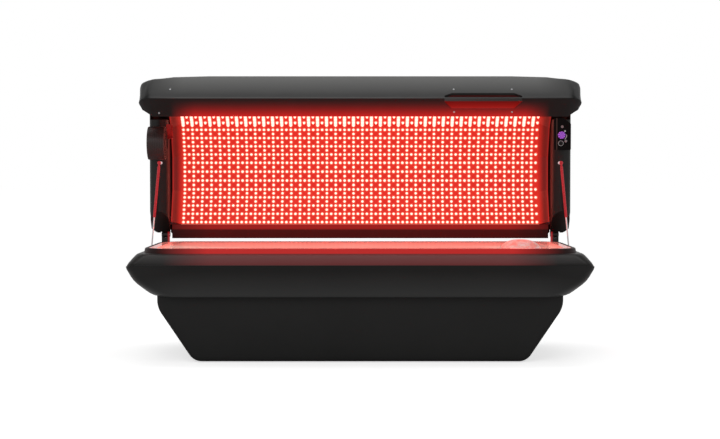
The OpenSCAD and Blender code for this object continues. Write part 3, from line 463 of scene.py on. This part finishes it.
band_rings = [band_ring(rise, inset, 0) for rise, inset in band_section]
band_rings += [ring(1.044, -0.41, 0.38, 0.13, z) for z in (0.531, 0.525)]
band_rings += [band_ring(rise, inset, band_wall) for rise, inset in band_section[::-1]]
upper = lofted("upper", band_rings)
tidy_faces(upper, band_grey)
notch_width = 0.04
notches = [box((low, 0.212, 0.4845), (low + notch_width, 0.336, 0.56)) for low in (1.083, -1.123)]
upper = cut_out(upper, *notches)
tidy_faces(dipped(upper), band_grey)
piece("bench_band", upper, "bench", "bench_upper_shell")
dress(finish("collar_grey", collar_look, Specular_IOR_Level=0.12, Emission_Strength=1.0), "bench_collar")


# Light boards: coated aluminium boards in long facets, each one set with rows of small domed
# light emitters. Every second column is a full one; the columns between miss every second row.
led_pitch = 0.024
led_columns = 80


def lit_board(place):
    # The board's red glow is painted on, standing for the light of its emitters falling on it.
    mottle = place.noise(0.05, 2)
    return {"Base Color": mottle.blend((0.7, 0.05, 0.03), (0.8, 0.08, 0.05)),
            "Emission Color": mottle.blend((0.78, 0.045, 0.024), (0.88, 0.075, 0.042)),
            "Roughness": 0.35 + mottle * 0.2}


dress(finish("board_glow", lit_board, Emission_Strength=1.0), "bench_led_boards")


def white_hot(place):
    return {"Emission Color": place.noise(0.004, 1).blend((1.0, 0.235, 0.19), (1.0, 0.265, 0.215)),
            "Roughness": 0.2 + place.noise(0.01, 1) * 0.1}


emitter_light = finish("emitter_light", white_hot, Base_Color=(0.9, 0.5, 0.4), Emission_Strength=4.0)


def group(name, **inputs):
    """A new tree of geometry nodes with named inputs, and the identifiers of those inputs."""
    tree = bpy.data.node_groups.new(name, "GeometryNodeTree")
    kinds = {int: "NodeSocketInt", float: "NodeSocketFloat"}
    tree.interface.new_socket("Geometry", in_out="INPUT", socket_type="NodeSocketGeometry")
    ids = {}
    for key, value in inputs.items():
        made = tree.interface.new_socket(key, in_out="INPUT", socket_type=kinds[type(value)])
        made.default_value = value
        ids[key] = made.identifier
    tree.interface.new_socket("Geometry", in_out="OUTPUT", socket_type="NodeSocketGeometry")
    return tree, ids


def add(tree, kind, settings=None, sockets=None):
    """A new geometry node, its sockets linked or set."""
    made = tree.nodes.new(kind)
    for key, value in (settings or {}).items():
        setattr(made, key, value)
    for key, value in (sockets or {}).items():
        if isinstance(value, bpy.types.NodeSocket):
            tree.links.new(value, made.inputs[key])
        else:
            made.inputs[key].default_value = value
    return made


def grown(name, tree, ids, values, points=((0, 0, 0),), facing=None):
    """Runs a tree on loose points, each with a facing, and gives back the plain mesh."""
    mesh = bpy.data.meshes.new(name)
    mesh.from_pydata(list(points), [], [])
    if facing:
        mesh.attributes.new("facing", "FLOAT_VECTOR", "POINT").data.foreach_set(
            "vector", [c for v in facing for c in v])
    seed = linked(name + "_seed", mesh)
    modifier = seed.modifiers.new(name, "NODES")
    modifier.node_group = tree
    for key, value in values.items():
        modifier[ids[key]] = value
    bpy.context.view_layer.update()
    plain = plain_mesh(seed)
    bpy.data.objects.remove(seed)
    return plain


def emitter_tree():
    """Grid of domed emitters that leaves out every second one of every second column."""
    collar_height, dome_radius, dome_height = 0.0024, 0.0052, 0.0016
    tree, ids = group("emitter_rows", Columns=led_columns, Rows=8, Pitch=led_pitch, Radius=0.0066)
    given = tree.nodes.new("NodeGroupInput").outputs
    spans = [add(tree, "ShaderNodeMath", {"operation": "MULTIPLY"}, {
        0: add(tree, "ShaderNodeMath", {"operation": "SUBTRACT"}, {0: given[side], 1: 1.0}).outputs[0],
        1: given["Pitch"]}).outputs[0] for side in ("Columns", "Rows")]
    grid = add(tree, "GeometryNodeMeshGrid", {}, {
        "Size X": spans[0], "Size Y": spans[1], "Vertices X": given["Columns"], "Vertices Y": given["Rows"]})
    index = add(tree, "GeometryNodeInputIndex").outputs[0]
    row = add(tree, "ShaderNodeMath", {"operation": "MODULO"}, {0: index, 1: given["Rows"]}).outputs[0]
    column = add(tree, "ShaderNodeMath", {"operation": "FLOOR"}, {
        0: add(tree, "ShaderNodeMath", {"operation": "DIVIDE"}, {0: index, 1: given["Rows"]}).outputs[0]}).outputs[0]
    odd = [add(tree, "ShaderNodeMath", {"operation": "MODULO"}, {0: side, 1: 2.0}).outputs[0]
           for side in (row, column)]
    empty = add(tree, "ShaderNodeMath", {"operation": "MULTIPLY"}, {0: odd[0], 1: odd[1]}).outputs[0]
    kept = add(tree, "GeometryNodeDeleteGeometry", {"domain": "POINT", "mode": "ALL"}, {
        "Geometry": grid.outputs["Mesh"],
        "Selection": add(tree, "ShaderNodeMath", {"operation": "GREATER_THAN"}, {0: empty, 1: 0.5}).outputs[0]})
    collar = add(tree, "GeometryNodeMeshCone", {"fill_type": "NONE"}, {
        "Vertices": 10, "Radius Top": dome_radius, "Radius Bottom": given["Radius"], "Depth": collar_height,
        "Side Segments": 1})
    dome = add(tree, "GeometryNodeMeshCone", {"fill_type": "TRIANGLE_FAN"}, {
        "Vertices": 10, "Radius Top": 0.0, "Radius Bottom": dome_radius, "Depth": dome_height, "Side Segments": 2})
    lifted = add(tree, "GeometryNodeTransform", {}, {
        "Geometry": dome.outputs["Mesh"], "Translation": (0, 0, collar_height)})
    joined = add(tree, "GeometryNodeJoinGeometry")
    tree.links.new(collar.outputs["Mesh"], joined.inputs[0])
    tree.links.new(lifted.outputs["Geometry"], joined.inputs[0])
    placed = add(tree, "GeometryNodeInstanceOnPoints", {}, {
        "Points": kept.outputs["Geometry"], "Instance": joined.outputs["Geometry"]})
    plain = add(tree, "GeometryNodeRealizeInstances", {}, {"Geometry": placed.outputs["Instances"]})
    painted = add(tree, "GeometryNodeSetMaterial", {}, {
        "Geometry": plain.outputs["Geometry"], "Material": emitter_light})
    add(tree, "NodeGroupOutput", {}, {"Geometry": painted.outputs["Geometry"]})
    return tree, ids


def joined_mesh(name, parts, *materials):
    """One mesh from (mesh, matrix) pairs."""
    whole = bmesh.new()
    for mesh, matrix in parts:
        copy = mesh.copy()
        copy.transform(matrix)
        whole.from_mesh(copy)
        bpy.data.meshes.remove(copy)
    made = bpy.data.meshes.new(name)
    whole.to_mesh(made)
    whole.free()
    for material in materials:
        made.materials.append(material)
    return made


rows_tree, rows_ids = emitter_tree()
trough_mid_y = -0.043
trough_r, trough_cz, trough_a = 0.74524, 1.20724, 0.50224
sheet_thickness, bed_board_gap = 0.008, 0.022
bed_facets = 4
bed_margin = math.radians(3)
bed_r = trough_r + sheet_thickness + bed_board_gap
bed_step = 2 * (trough_a - bed_margin) / bed_facets
bed_rows = grown("bed_rows", rows_tree, rows_ids, {"Columns": led_columns, "Rows": 7, "Pitch": led_pitch})


def bed_joint(k):
    """Corner k of the boards under the sheet, seen along the bed."""
    a = -trough_a + bed_margin + k * bed_step
    return Vector((0, trough_mid_y + bed_r * math.sin(a), trough_cz - bed_r * math.cos(a)))


def facet_matrix(a, b, lift=0.0006):
    """Middle of the facet between two corners, with its face up."""
    up_face = (b - a).normalized()
    out = Vector((1, 0, 0)).cross(up_face)
    turn = Matrix((Vector((1, 0, 0)), up_face, out)).transposed().to_4x4()
    return Matrix.Translation((a + b) / 2 + out * lift) @ turn


piece("bench_emitters", joined_mesh("bench_emitters", [
    (bed_rows, facet_matrix(bed_joint(k), bed_joint(k + 1))) for k in range(bed_facets)], emitter_light), "bench")


# Lying sheet: clear cast acrylic drawn down into a shallow trough, with a polished rim that
# lies on the collar's ledge. Its pink tint and glow are painted on, standing for the red light under it.
def clear_sheet(place):
    edge = place.node("ShaderNodeLayerWeight", {}, {"Blend": 0.32}, 1)
    wave = place.noise(0.25, 2)
    # Painted light: pale painted reflection streaks low in the trough and a painted red glow at the rim, stronger at
    # grazing angles.
    painted_reflection = place.stretched(0.25, 2.2, 2.2).noise(0.12, 3, 0.6).ramp(0.52, 0.64)
    return {"Alpha": 0.3 + edge * 0.68, "Roughness": 0.035 + wave * 0.03, "Normal": wave.relief(0.002, 0.25),
            "Emission Color": place.along("Z").ramp(0.532, 0.545).blend(
                painted_reflection.blend((0.5, 0.42, 0.34), (0.6, 1.0, 0.85)), edge.blend((0.6, 0.1, 0.07), (0.95, 0.22, 0.17)))}


dress(finish("clear_sheet", clear_sheet, Base_Color=(0.96, 0.5, 0.46), Emission_Strength=0.3,
             Specular_IOR_Level=0.6, IOR=1.49), "lying_sheet")


# Fans: black moulded nylon rotors turning on steel pins, two under the bench in square frames
# and one in the canopy's drum, which has a nylon guard.
def nylon(place):
    flow = place.noise(0.02, 3)
    return {"Base Color": flow.blend((0.017, 0.017, 0.017), (0.028, 0.027, 0.027)),
            "Roughness": 0.4 + flow * 0.18, "Normal": place.noise(0.0014, 2).relief(0.00006, 0.5)}


fan_nylon = finish("fan_nylon", nylon, Specular_IOR_Level=0.4)
dress(fan_nylon, "bench_fan_left", "bench_fan_right", "fan_impeller", "fan_grille")


# Headrest: a soft clear-skinned pad, filled loosely so that its skin creases, that lies in the
# trough at the panel end.
def headrest_skin(place):
    crease = place.stretched(1, 0.35, 1.6).noise(0.045, 4, 0.62)
    # Painted shade and light: creases are painted darker and redder, with a painted red glow standing for the light
    # from below.
    painted_crease_shade = crease.ramp(0.4, 0.62)
    return {"Base Color": painted_crease_shade.blend((0.85, 0.4, 0.36), (0.97, 0.82, 0.79)),
            "Emission Color": painted_crease_shade.blend((0.6, 0.1, 0.08), (0.35, 0.2, 0.18)),
            "Roughness": 0.25 + crease * 0.2, "Normal": crease.relief(0.012, 0.8)}


headrest_look = finish("headrest_skin", headrest_skin, Sheen_Weight=0.3, Subsurface_Weight=0.25,
                       Subsurface_Scale=0.02, Emission_Strength=0.5)


def filled_pad(mesh):
    """The pad's skin, cut finer and blown up a little so that it creases."""
    most_moved, settling_steps = 0.006, 20
    pad = linked("pad", mesh)
    finer = pad.modifiers.new("finer", "REMESH")
    finer.mode, finer.voxel_size = "VOXEL", 0.006
    bpy.context.view_layer.update()
    pad.data = plain_mesh(pad)
    pad.modifiers.clear()
    start = [point.co.copy() for point in pad.data.vertices]
    middle = sum(start, Vector()) / len(start)
    for point in pad.data.vertices:
        point.co = middle + (point.co - middle) * 0.97
    cloth = pad.modifiers.new("cloth", "CLOTH")
    cloth.settings.use_pressure, cloth.settings.uniform_pressure_force = True, 4
    cloth.settings.shrink_min = -0.12
    cloth.settings.effector_weights.gravity = 0
    for step in range(1, settling_steps + 1):
        bpy.context.scene.frame_set(step)
    blown = plain_mesh(pad)
    bpy.context.scene.frame_set(1)
    for point, was in zip(blown.vertices, start):
        gap = point.co - was
        point.co = was + gap * min(1, most_moved / max(gap.length, 0.0001))
    pad.modifiers.clear()
    pad.data = blown
    rounder = pad.modifiers.new("rounder", "SUBSURF")
    rounder.levels = rounder.render_levels = 1
    bpy.context.view_layer.update()
    plain = plain_mesh(pad)
    bpy.data.objects.remove(pad)
    return plain


pad_skin = filled_pad(merged("headrest_pillow"))
tidy_faces(pad_skin, headrest_look, 180)
headrest = piece("headrest", pad_skin, "bench", "headrest_pillow")


# Hinges: black cast brackets on the bench top, turned pins through them, and the leaves that
# grip the canopy's rear rail.
def cast_black(place):
    grain = place.noise(0.0025, 3)
    inner = place.aside().ramp(1.034, 1.026)
    # Painted red light on the brackets' inner sides, towards the bed.
    return {"Base Color": grain.blend((0.02, 0.019, 0.019), (0.035, 0.033, 0.032)),
            "Emission Color": inner.blend((0, 0, 0), (0.34, 0.008, 0.012)),
            "Roughness": 0.38 + grain * 0.14, "Normal": grain.relief(0.00015, 0.6)}


bracket_black = finish("bracket_black", cast_black, Metallic=0.3, Emission_Strength=1.0)
dress(bracket_black, "hinge_brackets", "hinge_leaves")
web_x, half_web = 1.043, 0.0112
webs = joined_mesh("hinge_webs", [
    (box((x - half_web, 0.366, 0.5368), (x + half_web, 0.398, 0.5702)), Matrix()) for x in (-web_x, web_x)])
tidy_faces(webs, bracket_black)
piece("hinge_webs", webs, "bench")


# Canopy shell: one large moulding in the bench's gloss black, rounded at its ends, with the
# flat lip under its front edge and the finger slot with its bar let into both.
canopy_ridge = Vector((0, -0.196, 1.293))
face_up, face_out = Vector((0, 0.875, 0.485)), Vector((0, -0.485, 0.875))
lip_in, lip_out = Vector((0, 0.535, -0.845)), Vector((0, -0.845, -0.535))


def from_ridge(place, way):
    """Distance from the canopy's ridge line in a direction across the bed."""
    return way.y * (place.along("Y") - canopy_ridge.y) + way.z * (place.along("Z") - canopy_ridge.z)


def canopy_face(place):
    """Gloss black painted paler towards the top, where the sheet turns up to the light, as painted light, with a
    painted highlight along the ridge.
    """
    look = formed_shell((0.011, 0.011, 0.0108), (0.015, 0.0148, 0.0145), 0.33)(place)
    height = place.along("Z").ramp(1.31, 1.42) * place.along("Y").ramp(0.14, 0.04)
    reach = place.aside().ramp(1.1, 0.9)
    look["Base Color"] = (height * (reach * 0.85 + 0.15)).blend((0.012, 0.0118, 0.0115), (0.2, 0.2, 0.195))
    edge = from_ridge(place, face_up)
    painted_ridge_highlight = edge.ramp(0.011, 0.006) * edge.ramp(-0.004, 0.0) * (place.along("X").ramp(0.9, 0.1) * 0.7 + 0.3)
    look["Emission Color"] = (painted_ridge_highlight * reach).blend((0, 0, 0), (0.045, 0.042, 0.041))
    return look


canopy_black = finish("canopy_black", canopy_face, Specular_IOR_Level=0.19, Emission_Strength=1.0)
dress(canopy_black, "handle_bar")


def swollen(node):
    """A merged copy of a canopy skin with its front face bowed and its ends rounded off."""
    mesh = merged(node)
    shape = bmesh.new()
    shape.from_mesh(mesh)
    face_depth, bow, widening = 0.264, 0.018, 0.014
    end_x, cap, shoulder = 1.115, 0.017, 0.054
    cuts = [(canopy_ridge + face_up * face_depth * t, face_up) for t in (0.06, 0.18, 0.34, 0.5, 0.66, 0.82, 0.94)]
    cuts += [(Vector((sx * x, 0, 0)), Vector((1, 0, 0)))
             for x in (1.111, 1.1055, 1.085, 1.072, 1.055) for sx in (1, -1)]
    for at, facing in cuts:
        bmesh.ops.bisect_plane(shape, geom=shape.verts[:] + shape.edges[:] + shape.faces[:], plane_co=at,
                               plane_no=facing, dist=0.00002)
    for point in shape.verts:
        spot = point.co.copy()
        t, off = (spot - canopy_ridge).dot(face_up) / face_depth, (spot - canopy_ridge).dot(face_out)
        if 0 < t < 1 and abs(off) < 0.012:
            point.co += face_out * bow * t * (1 - t)
        gone = end_x - abs(spot.x)
        puff = 0.0
        if 0 < gone < cap:
            puff = 0.005 * math.sin(math.pi * gone / cap)
        elif cap < gone < cap + shoulder:
            puff = 0.004 * math.sin(math.pi * (gone - cap) / shoulder)
        away = Vector((0, spot.y - 0.2, spot.z - 1.1)).normalized()
        point.co += away * puff
        end = min(max((abs(spot.x) - 0.98) / 0.13, 0), 1)
        point.co.x += math.copysign(widening * end * min(max((spot.z - 1.3) / 0.07, 0), 1), spot.x)
    shape.to_mesh(mesh)
    shape.free()
    return mesh


canopy_crease = 38
skin = swollen("canopy_shell")
tidy_faces(skin, canopy_black, canopy_crease)
piece("canopy_skin", skin, "canopy", "canopy_shell")


def lip_glow(place):
    """The lip's underside, black at the ridge, with painted red light towards the vault."""
    down = from_ridge(place, lip_in).ramp(0, 0.106)
    reach = place.aside().ramp(0.95, 0.83)
    return {"Base Color": place.noise(0.1, 2).blend((0.01, 0.0085, 0.008), (0.014, 0.011, 0.0105)),
            "Emission Color": (down ** 2.1 * reach).blend((0.002, 0.001, 0.001), (0.56, 0.0085, 0.007)),
            "Roughness": 0.4 + place.noise(0.05, 2) * 0.1}


lip_painted_red_light = finish("lip_painted_red_light", lip_glow, Emission_Strength=1.0, Specular_IOR_Level=0.2)
lip = swollen("front_lip")
tidy_faces(lip, lip_painted_red_light, canopy_crease)
piece("canopy_lip", lip, "canopy", "front_lip")


def screw_tree():
    """Pan-headed screws, one on each point, turned to the point's facing."""
    tree, ids = group("pan_head_screws", Radius=0.005, Height=0.002)
    given = tree.nodes.new("NodeGroupInput").outputs
    head = add(tree, "GeometryNodeMeshCone", {}, {
        "Vertices": 24, "Radius Top": 0.0036, "Radius Bottom": given["Radius"], "Depth": given["Height"]})
    facing = add(tree, "GeometryNodeInputNamedAttribute", {"data_type": "FLOAT_VECTOR"}, {"Name": "facing"})
    turn = add(tree, "FunctionNodeAlignRotationToVector", {"axis": "Z"}, {"Vector": facing.outputs["Attribute"]})
    placed = add(tree, "GeometryNodeInstanceOnPoints", {}, {
        "Points": given["Geometry"], "Instance": head.outputs["Mesh"], "Rotation": turn.outputs["Rotation"]})
    plain = add(tree, "GeometryNodeRealizeInstances", {}, {"Geometry": placed.outputs["Instances"]})
    painted = add(tree, "GeometryNodeSetMaterial", {}, {"Geometry": plain.outputs["Geometry"], "Material": zinc})
    add(tree, "NodeGroupOutput", {}, {"Geometry": painted.outputs["Geometry"]})
    return tree, ids


screws_tree, screws_ids = screw_tree()
screw_spots = [(canopy_ridge + face_up * 0.0915 + face_out * 0.0042 + Vector((x, 0, 0)), face_out)
               for x in (-0.957, 0.4705, 0.763)]
screw_spots += [(canopy_ridge + lip_in * d + lip_out * 0.0005 + Vector((x, 0, 0)), lip_out)
                for x, d in ((-1.009, 0.086), (0.471, 0.08), (0.761, 0.08))]
screws = grown("canopy_screws", screws_tree, screws_ids, {"Radius": 0.0052},
               [tuple(spot) for spot, _ in screw_spots], [tuple(way) for _, way in screw_spots])
piece("canopy_screws", screws, "canopy")


def cup_glow(place):
    """The finger slot's cup, with painted red light from below."""
    return {"Emission Color": place.along("Z").ramp(1.3, 1.245).blend((0.02, 0.001, 0.001), (0.34, 0.008, 0.006)),
            "Roughness": 0.4 + place.noise(0.02, 2) * 0.1}


dress(finish("cup_painted_red_light", cup_glow, Base_Color=(0.02, 0.006, 0.005), Emission_Strength=1.0), "handle_cup")


# Light vault: five facets of boards follow the shell from the rear rim up and over to the lip,
# with red reflectors painted bright with glow, flared out at both ends, and an apron behind the lip painted with red
# light.
hinge_line = Vector((0, 0.382, 0.589))
open_angle = math.radians(-50)
open_turn = (Matrix.Translation(hinge_line) @ Matrix.Rotation(open_angle, 4, "X")
             @ Matrix.Translation(-hinge_line))
facet_tilt = [64, 41, 16, -11, -36]
facet_width, facet_rows = 0.19, 8
vault_rows = grown("vault_rows", rows_tree, rows_ids, {
    "Columns": led_columns, "Rows": facet_rows, "Pitch": led_pitch})
corners = [Vector((0, 0.364 + bench_mid_y, 0.621))]
for tilt in facet_tilt:
    t = math.radians(tilt)
    corners.append(corners[-1] + facet_width * Vector((0, -math.cos(t), math.sin(t))))
piece("vault_emitters", joined_mesh("vault_emitters", [
    (vault_rows, open_turn @ facet_matrix(a, b) @ Matrix.Diagonal((1, 1, rise, 1)))
    for a, b, rise in zip(corners, corners[1:], (1, 1, 1.2, 3.4, 3.4))], emitter_light), "canopy")


def haloed_board(place):
    """Board painted red with light, a painted glow round each emitter and painted pale streaks up top; its map
    counts columns and rows.
    """
    rows = place.node("ShaderNodeUVMap", {"uv_map": "rows"})
    near, odd = [], []
    for axis in "XY":
        count = rows.along(axis) + 0.5
        near.append((count.sum("FRACT", count) - 0.5) ** 2)
        odd.append(count.sum("MODULO", count.sum("FLOOR", count), 2.0))
    apart = (near[0] + near[1]) ** 0.5
    halo = apart.ramp(0.56, 0.2) ** 1.5 * (1 - odd[0] * odd[1])
    painted_streak = (place.along("Z") > 1.172) * near[0].ramp(0.17, 0.07) * (1 - odd[0])
    halo = halo.sum("MAXIMUM", halo, painted_streak)
    mottle = place.noise(0.05, 2)
    board = mottle.blend((0.6, 0.016, 0.009), (0.7, 0.03, 0.018))
    return {"Emission Color": painted_streak.blend(halo.blend(board, (0.95, 0.26, 0.17)), (1, 0.86, 0.7)),
            "Roughness": 0.4 + mottle * 0.2}


def folded_board(name, line, back, half, count):
    """Board bent along its corners, with a map that counts its rows and columns."""
    mesh = bpy.data.meshes.new(name)
    n = len(line)
    points = [Vector((x, p.y, p.z)) for x in (-half, half) for side in (line, back) for p in side]
    middle_row, reach = (facet_rows - 1) / 2, facet_width / (2 * led_pitch)
    low, high = middle_row - reach, middle_row + reach
    counted = [(-0.5, low), (count - 0.5, low), (count - 0.5, high), (-0.5, high)]
    bare = [(0, 0)] * 4
    faces, uvs = [], []
    for k in range(n - 1):
        faces += [(k, 2 * n + k, 2 * n + k + 1, k + 1), (n + k, n + k + 1, 3 * n + k + 1, 3 * n + k)]
        faces += [(end + k, end + k + 1, end + n + k + 1, end + n + k) for end in (0, 2 * n)]
        uvs += [counted, bare, bare, bare]
    faces += [(k, n + k, 3 * n + k, 2 * n + k) for k in (0, n - 1)]
    uvs += [bare, bare]
    mesh.from_pydata(points, [], faces)
    mesh.uv_layers.new(name="rows").data.foreach_set("uv", [c for face in uvs for uv in face for c in uv])
    return mesh


board_thickness, half_field = 0.005, 0.96
behind = []
for k, here in enumerate(corners):
    a, b = facet_tilt[max(k - 1, 0)], facet_tilt[min(k, len(facet_tilt) - 1)]
    turn = math.radians((a + b) / 2)
    mitre = board_thickness / math.cos(math.radians((a - b) / 2))
    behind.append(here + mitre * Vector((0, math.sin(turn), math.cos(turn))))
boards = folded_board("vault_boards", corners, behind, half_field, led_columns)
boards.transform(open_turn)
tidy_faces(boards, finish("vault_glow", haloed_board, Base_Color=(0.1, 0.01, 0.008), Emission_Strength=1.0,
                          Specular_IOR_Level=0.2), 5)
piece("vault_boards", boards, "canopy", "canopy_led_boards")


def reflector_painted_glow(place):
    """Painted red glow that fades outwards from the boards, with a painted highlight where it catches the light
    again at its edge.
    """
    out = place.aside().ramp(0.96, 1.011)
    lit = place.along("Z").ramp(1.3, 0.8) * 0.45 + 0.55
    glow = out.gradient((0.0, (0.66, 0.016, 0.007)), (0.2, (0.48, 0.012, 0.007)), (0.45, (0.2, 0.006, 0.004)),
                        (0.62, (0.12, 0.004, 0.003)), (0.86, (0.18, 0.006, 0.005)), (0.94, (0.42, 0.016, 0.012)))
    return {"Emission Color": lit.blend((0, 0, 0), glow), "Roughness": 0.3 + place.noise(0.08, 3) * 0.15}


dress(finish("reflector_painted_glow", reflector_painted_glow, Base_Color=(0.04, 0.004, 0.003), Emission_Strength=1.0,
             Specular_IOR_Level=0.3), "side_reflectors")


def apron_painted_red_light(place):
    flow = place.noise(0.08, 3)
    # The red glow is painted on, standing for the vault's light on the apron.
    return {"Emission Color": flow.blend((0.5, 0.012, 0.008), (0.62, 0.02, 0.012)), "Roughness": 0.3 + flow * 0.15}


dress(finish("apron_painted_red_light", apron_painted_red_light, Base_Color=(0.15, 0.008, 0.006), Emission_Strength=1.0), "front_apron")


def rim_painted_red_light(place):
    """Painted red light: maroon at the top of the rim, near black below, and dark towards the ends."""
    flow = place.noise(0.1, 3)
    reach = place.aside().ramp(1.0, 0.8)
    upper = place.along("Z").ramp(0.612, 0.622)
    glow = upper.blend((0.05, 0.0022, 0.002), (0.31, 0.0085, 0.007))
    return {"Emission Color": (reach * 0.75 + 0.25).blend((0.004, 0.002, 0.002), glow),
            "Roughness": 0.42 + flow * 0.12}


rim_bottom, rim_drop = 0.6, 0.008
rim = merged("rear_rim")
for point in rim.vertices:
    if point.co.z < rim_bottom:
        point.co.z -= rim_drop
tidy_faces(rim, finish("rim_painted_red_light", rim_painted_red_light, Base_Color=(0.012, 0.003, 0.003), Emission_Strength=1.0,
                       Specular_IOR_Level=0.12), 30)
piece("rim_painted_red_light", rim, "canopy", "rear_rim")


# Jambs: upright end posts inside the canopy, moulded with a rounded nose and a fine satin grain,
# with flat end plates, the control panel's housing and the round audio socket.
def satin_grain(place):
    grain = place.noise(0.0018, 3)
    drift = place.noise(0.2, 2)
    outer = drift.blend((0.018, 0.0175, 0.0165), (0.026, 0.0255, 0.0245))
    # Painted shade: the inner side, towards the bed, is painted near black.
    return {"Base Color": place.aside().ramp(1.03, 1.09).blend((0.006, 0.0045, 0.0042), outer),
            "Roughness": 0.36 + drift * 0.1, "Normal": grain.relief(0.00008, 0.5)}


jamb_black = finish("jamb_black", satin_grain, Specular_IOR_Level=0.3)
dress(jamb_black, "jamb_left", "jamb_right", "end_plates", "control_housing", "audio_socket")


# Body fan: a ribbed drum on the left jamb with a guard over its inlet, and a duct, painted red
# for the vault's light on it, that leads its air to the vault.
def drum_painted_red_tint(place):
    flow = place.noise(0.03, 3)
    # The brownish red is painted light, standing for the vault's red light on dark plastic.
    return {"Base Color": flow.blend((0.028, 0.018, 0.017), (0.045, 0.028, 0.026)), "Roughness": 0.36 + flow * 0.14,
            "Normal": place.noise(0.0015, 2).relief(0.00008, 0.5)}


dress(finish("drum_painted_red_tint", drum_painted_red_tint), "fan_drum")


def duct_painted_red_light(place):
    flow = place.noise(0.05, 2)
    # The red is painted light, standing for the vault's glow on the duct.
    return {"Base Color": flow.blend((0.3, 0.012, 0.01), (0.4, 0.02, 0.016)), "Roughness": 0.4 + flow * 0.1}


dress(finish("duct_painted_red_light", duct_painted_red_light), "fan_duct")


# Control panel: a gloss black plate on the right jamb with a lit violet selector, two grey
# buttons and pale printed marks round them.
def panel_gloss(place):
    haze = place.noise(0.05, 3)
    # Painted highlight: a thin pale streak along the plate.
    painted_streak = place.along("X").ramp(1.031, 1.0335) * place.along("X").ramp(1.038, 1.0355)
    return {"Base Color": haze.blend((0.004, 0.003, 0.003), (0.007, 0.005, 0.005)), "Roughness": 0.12 + haze * 0.1,
            "Emission Color": painted_streak.blend((0, 0, 0), (0.055, 0.024, 0.02))}


dress(finish("panel_gloss", panel_gloss, Specular_IOR_Level=0.08, Emission_Strength=1.0), "control_panel")


def flat_arc(x, z, inner, outer, start, end, front, back, steps=24):
    """Raised mark on the panel: part of a flat ring, with its angles in degrees."""
    turns = [math.radians(start + (end - start) * k / steps) for k in range(steps + 1)]
    return lofted("mark", [[(x + r * math.cos(a), y, z + r * math.sin(a))
                            for y, r in ((back, outer), (front, outer), (front, inner), (back, inner))]
                           for a in turns], False)


def print_grey(place):
    flow = place.noise(0.003, 2)
    # Pale print, with a faint painted glow that keeps it bright.
    return {"Emission Color": flow.blend((0.5, 0.5, 0.5), (0.7, 0.68, 0.67)), "Roughness": 0.4 + flow * 0.2}


selector_x, selector_z = 1.059, 1.118
mark_front, panel_front = 0.2312, 0.233
marks = joined_mesh("panel_marks", [(flat_arc(*arc, mark_front, panel_front), Matrix()) for arc in (
    (1.0777, 1.139, 0.0004, 0.0042, 0, 359),
    (selector_x, selector_z, 0.0262, 0.0285, -52, 6),
    (1.056, 1.075, 0.0125, 0.0138, 0, 359))])
tidy_faces(marks, finish("print_grey", print_grey, Base_Color=(0.5, 0.5, 0.5), Emission_Strength=0.35))
piece("panel_marks", marks, "canopy")


def knob_violet(place):
    """Ribbed violet knob with a painted violet glow, brighter on the ribs than between them; its ribs counted round
    its own axis.
    """
    turn = place.sum("ARCTAN2", place.along("Z") - selector_z, place.along("X") - selector_x) * 9
    rib = turn.sum("SINE", turn).ramp(-0.4, 0.7)
    flow = place.noise(0.01, 2)
    return {"Base Color": rib.blend((0.06, 0.02, 0.12), (0.2, 0.06, 0.4)), "Roughness": 0.22 + flow * 0.12,
            "Emission Color": rib.blend((0.1, 0.02, 0.2), (0.36, 0.09, 0.62))}


dress(finish("knob_violet", knob_violet, Emission_Strength=0.9), "selector_knob")


def button_grey(place):
    flow = place.noise(0.004, 2)
    return {"Base Color": flow.blend((0.3, 0.3, 0.3), (0.42, 0.42, 0.42)), "Roughness": 0.35 + flow * 0.2}


dress(finish("button_grey", button_grey), "button_upper", "button_lower")


# Gas struts: black cylinders with a painted deep red sheen standing for the light, and chromed
# rods brightened by a painted reflection, that run down to studs hidden in the bench.
def strut_paint_and_red_sheen(place):
    flow = place.noise(0.03, 2)
    # The red emission is a painted sheen, standing for the vault's light on the black paint.
    return {"Base Color": flow.blend((0.02, 0.008, 0.008), (0.035, 0.012, 0.012)), "Roughness": 0.22 + flow * 0.1,
            "Emission Color": flow.blend((0.3, 0.008, 0.014), (0.42, 0.012, 0.02))}


dress(finish("strut_paint_and_red_sheen", strut_paint_and_red_sheen, Emission_Strength=1.0), "strut_cylinder_left", "strut_cylinder_right")


def chrome_painted_shine(place):
    draw = place.stretched(1, 1, 0.1).noise(0.003, 2)
    # The grey emission is a painted reflection on the chrome.
    return {"Base Color": draw.blend((0.68, 0.69, 0.71), (0.8, 0.8, 0.82)), "Roughness": 0.1 + draw * 0.1,
            "Emission Color": draw.blend((0.2, 0.17, 0.17), (0.3, 0.27, 0.27))}


dress(finish("chrome_painted_shine", chrome_painted_shine, Metallic=1.0, Emission_Strength=1.0),
      "strut_rod_left", "strut_rod_right", "strut_studs")
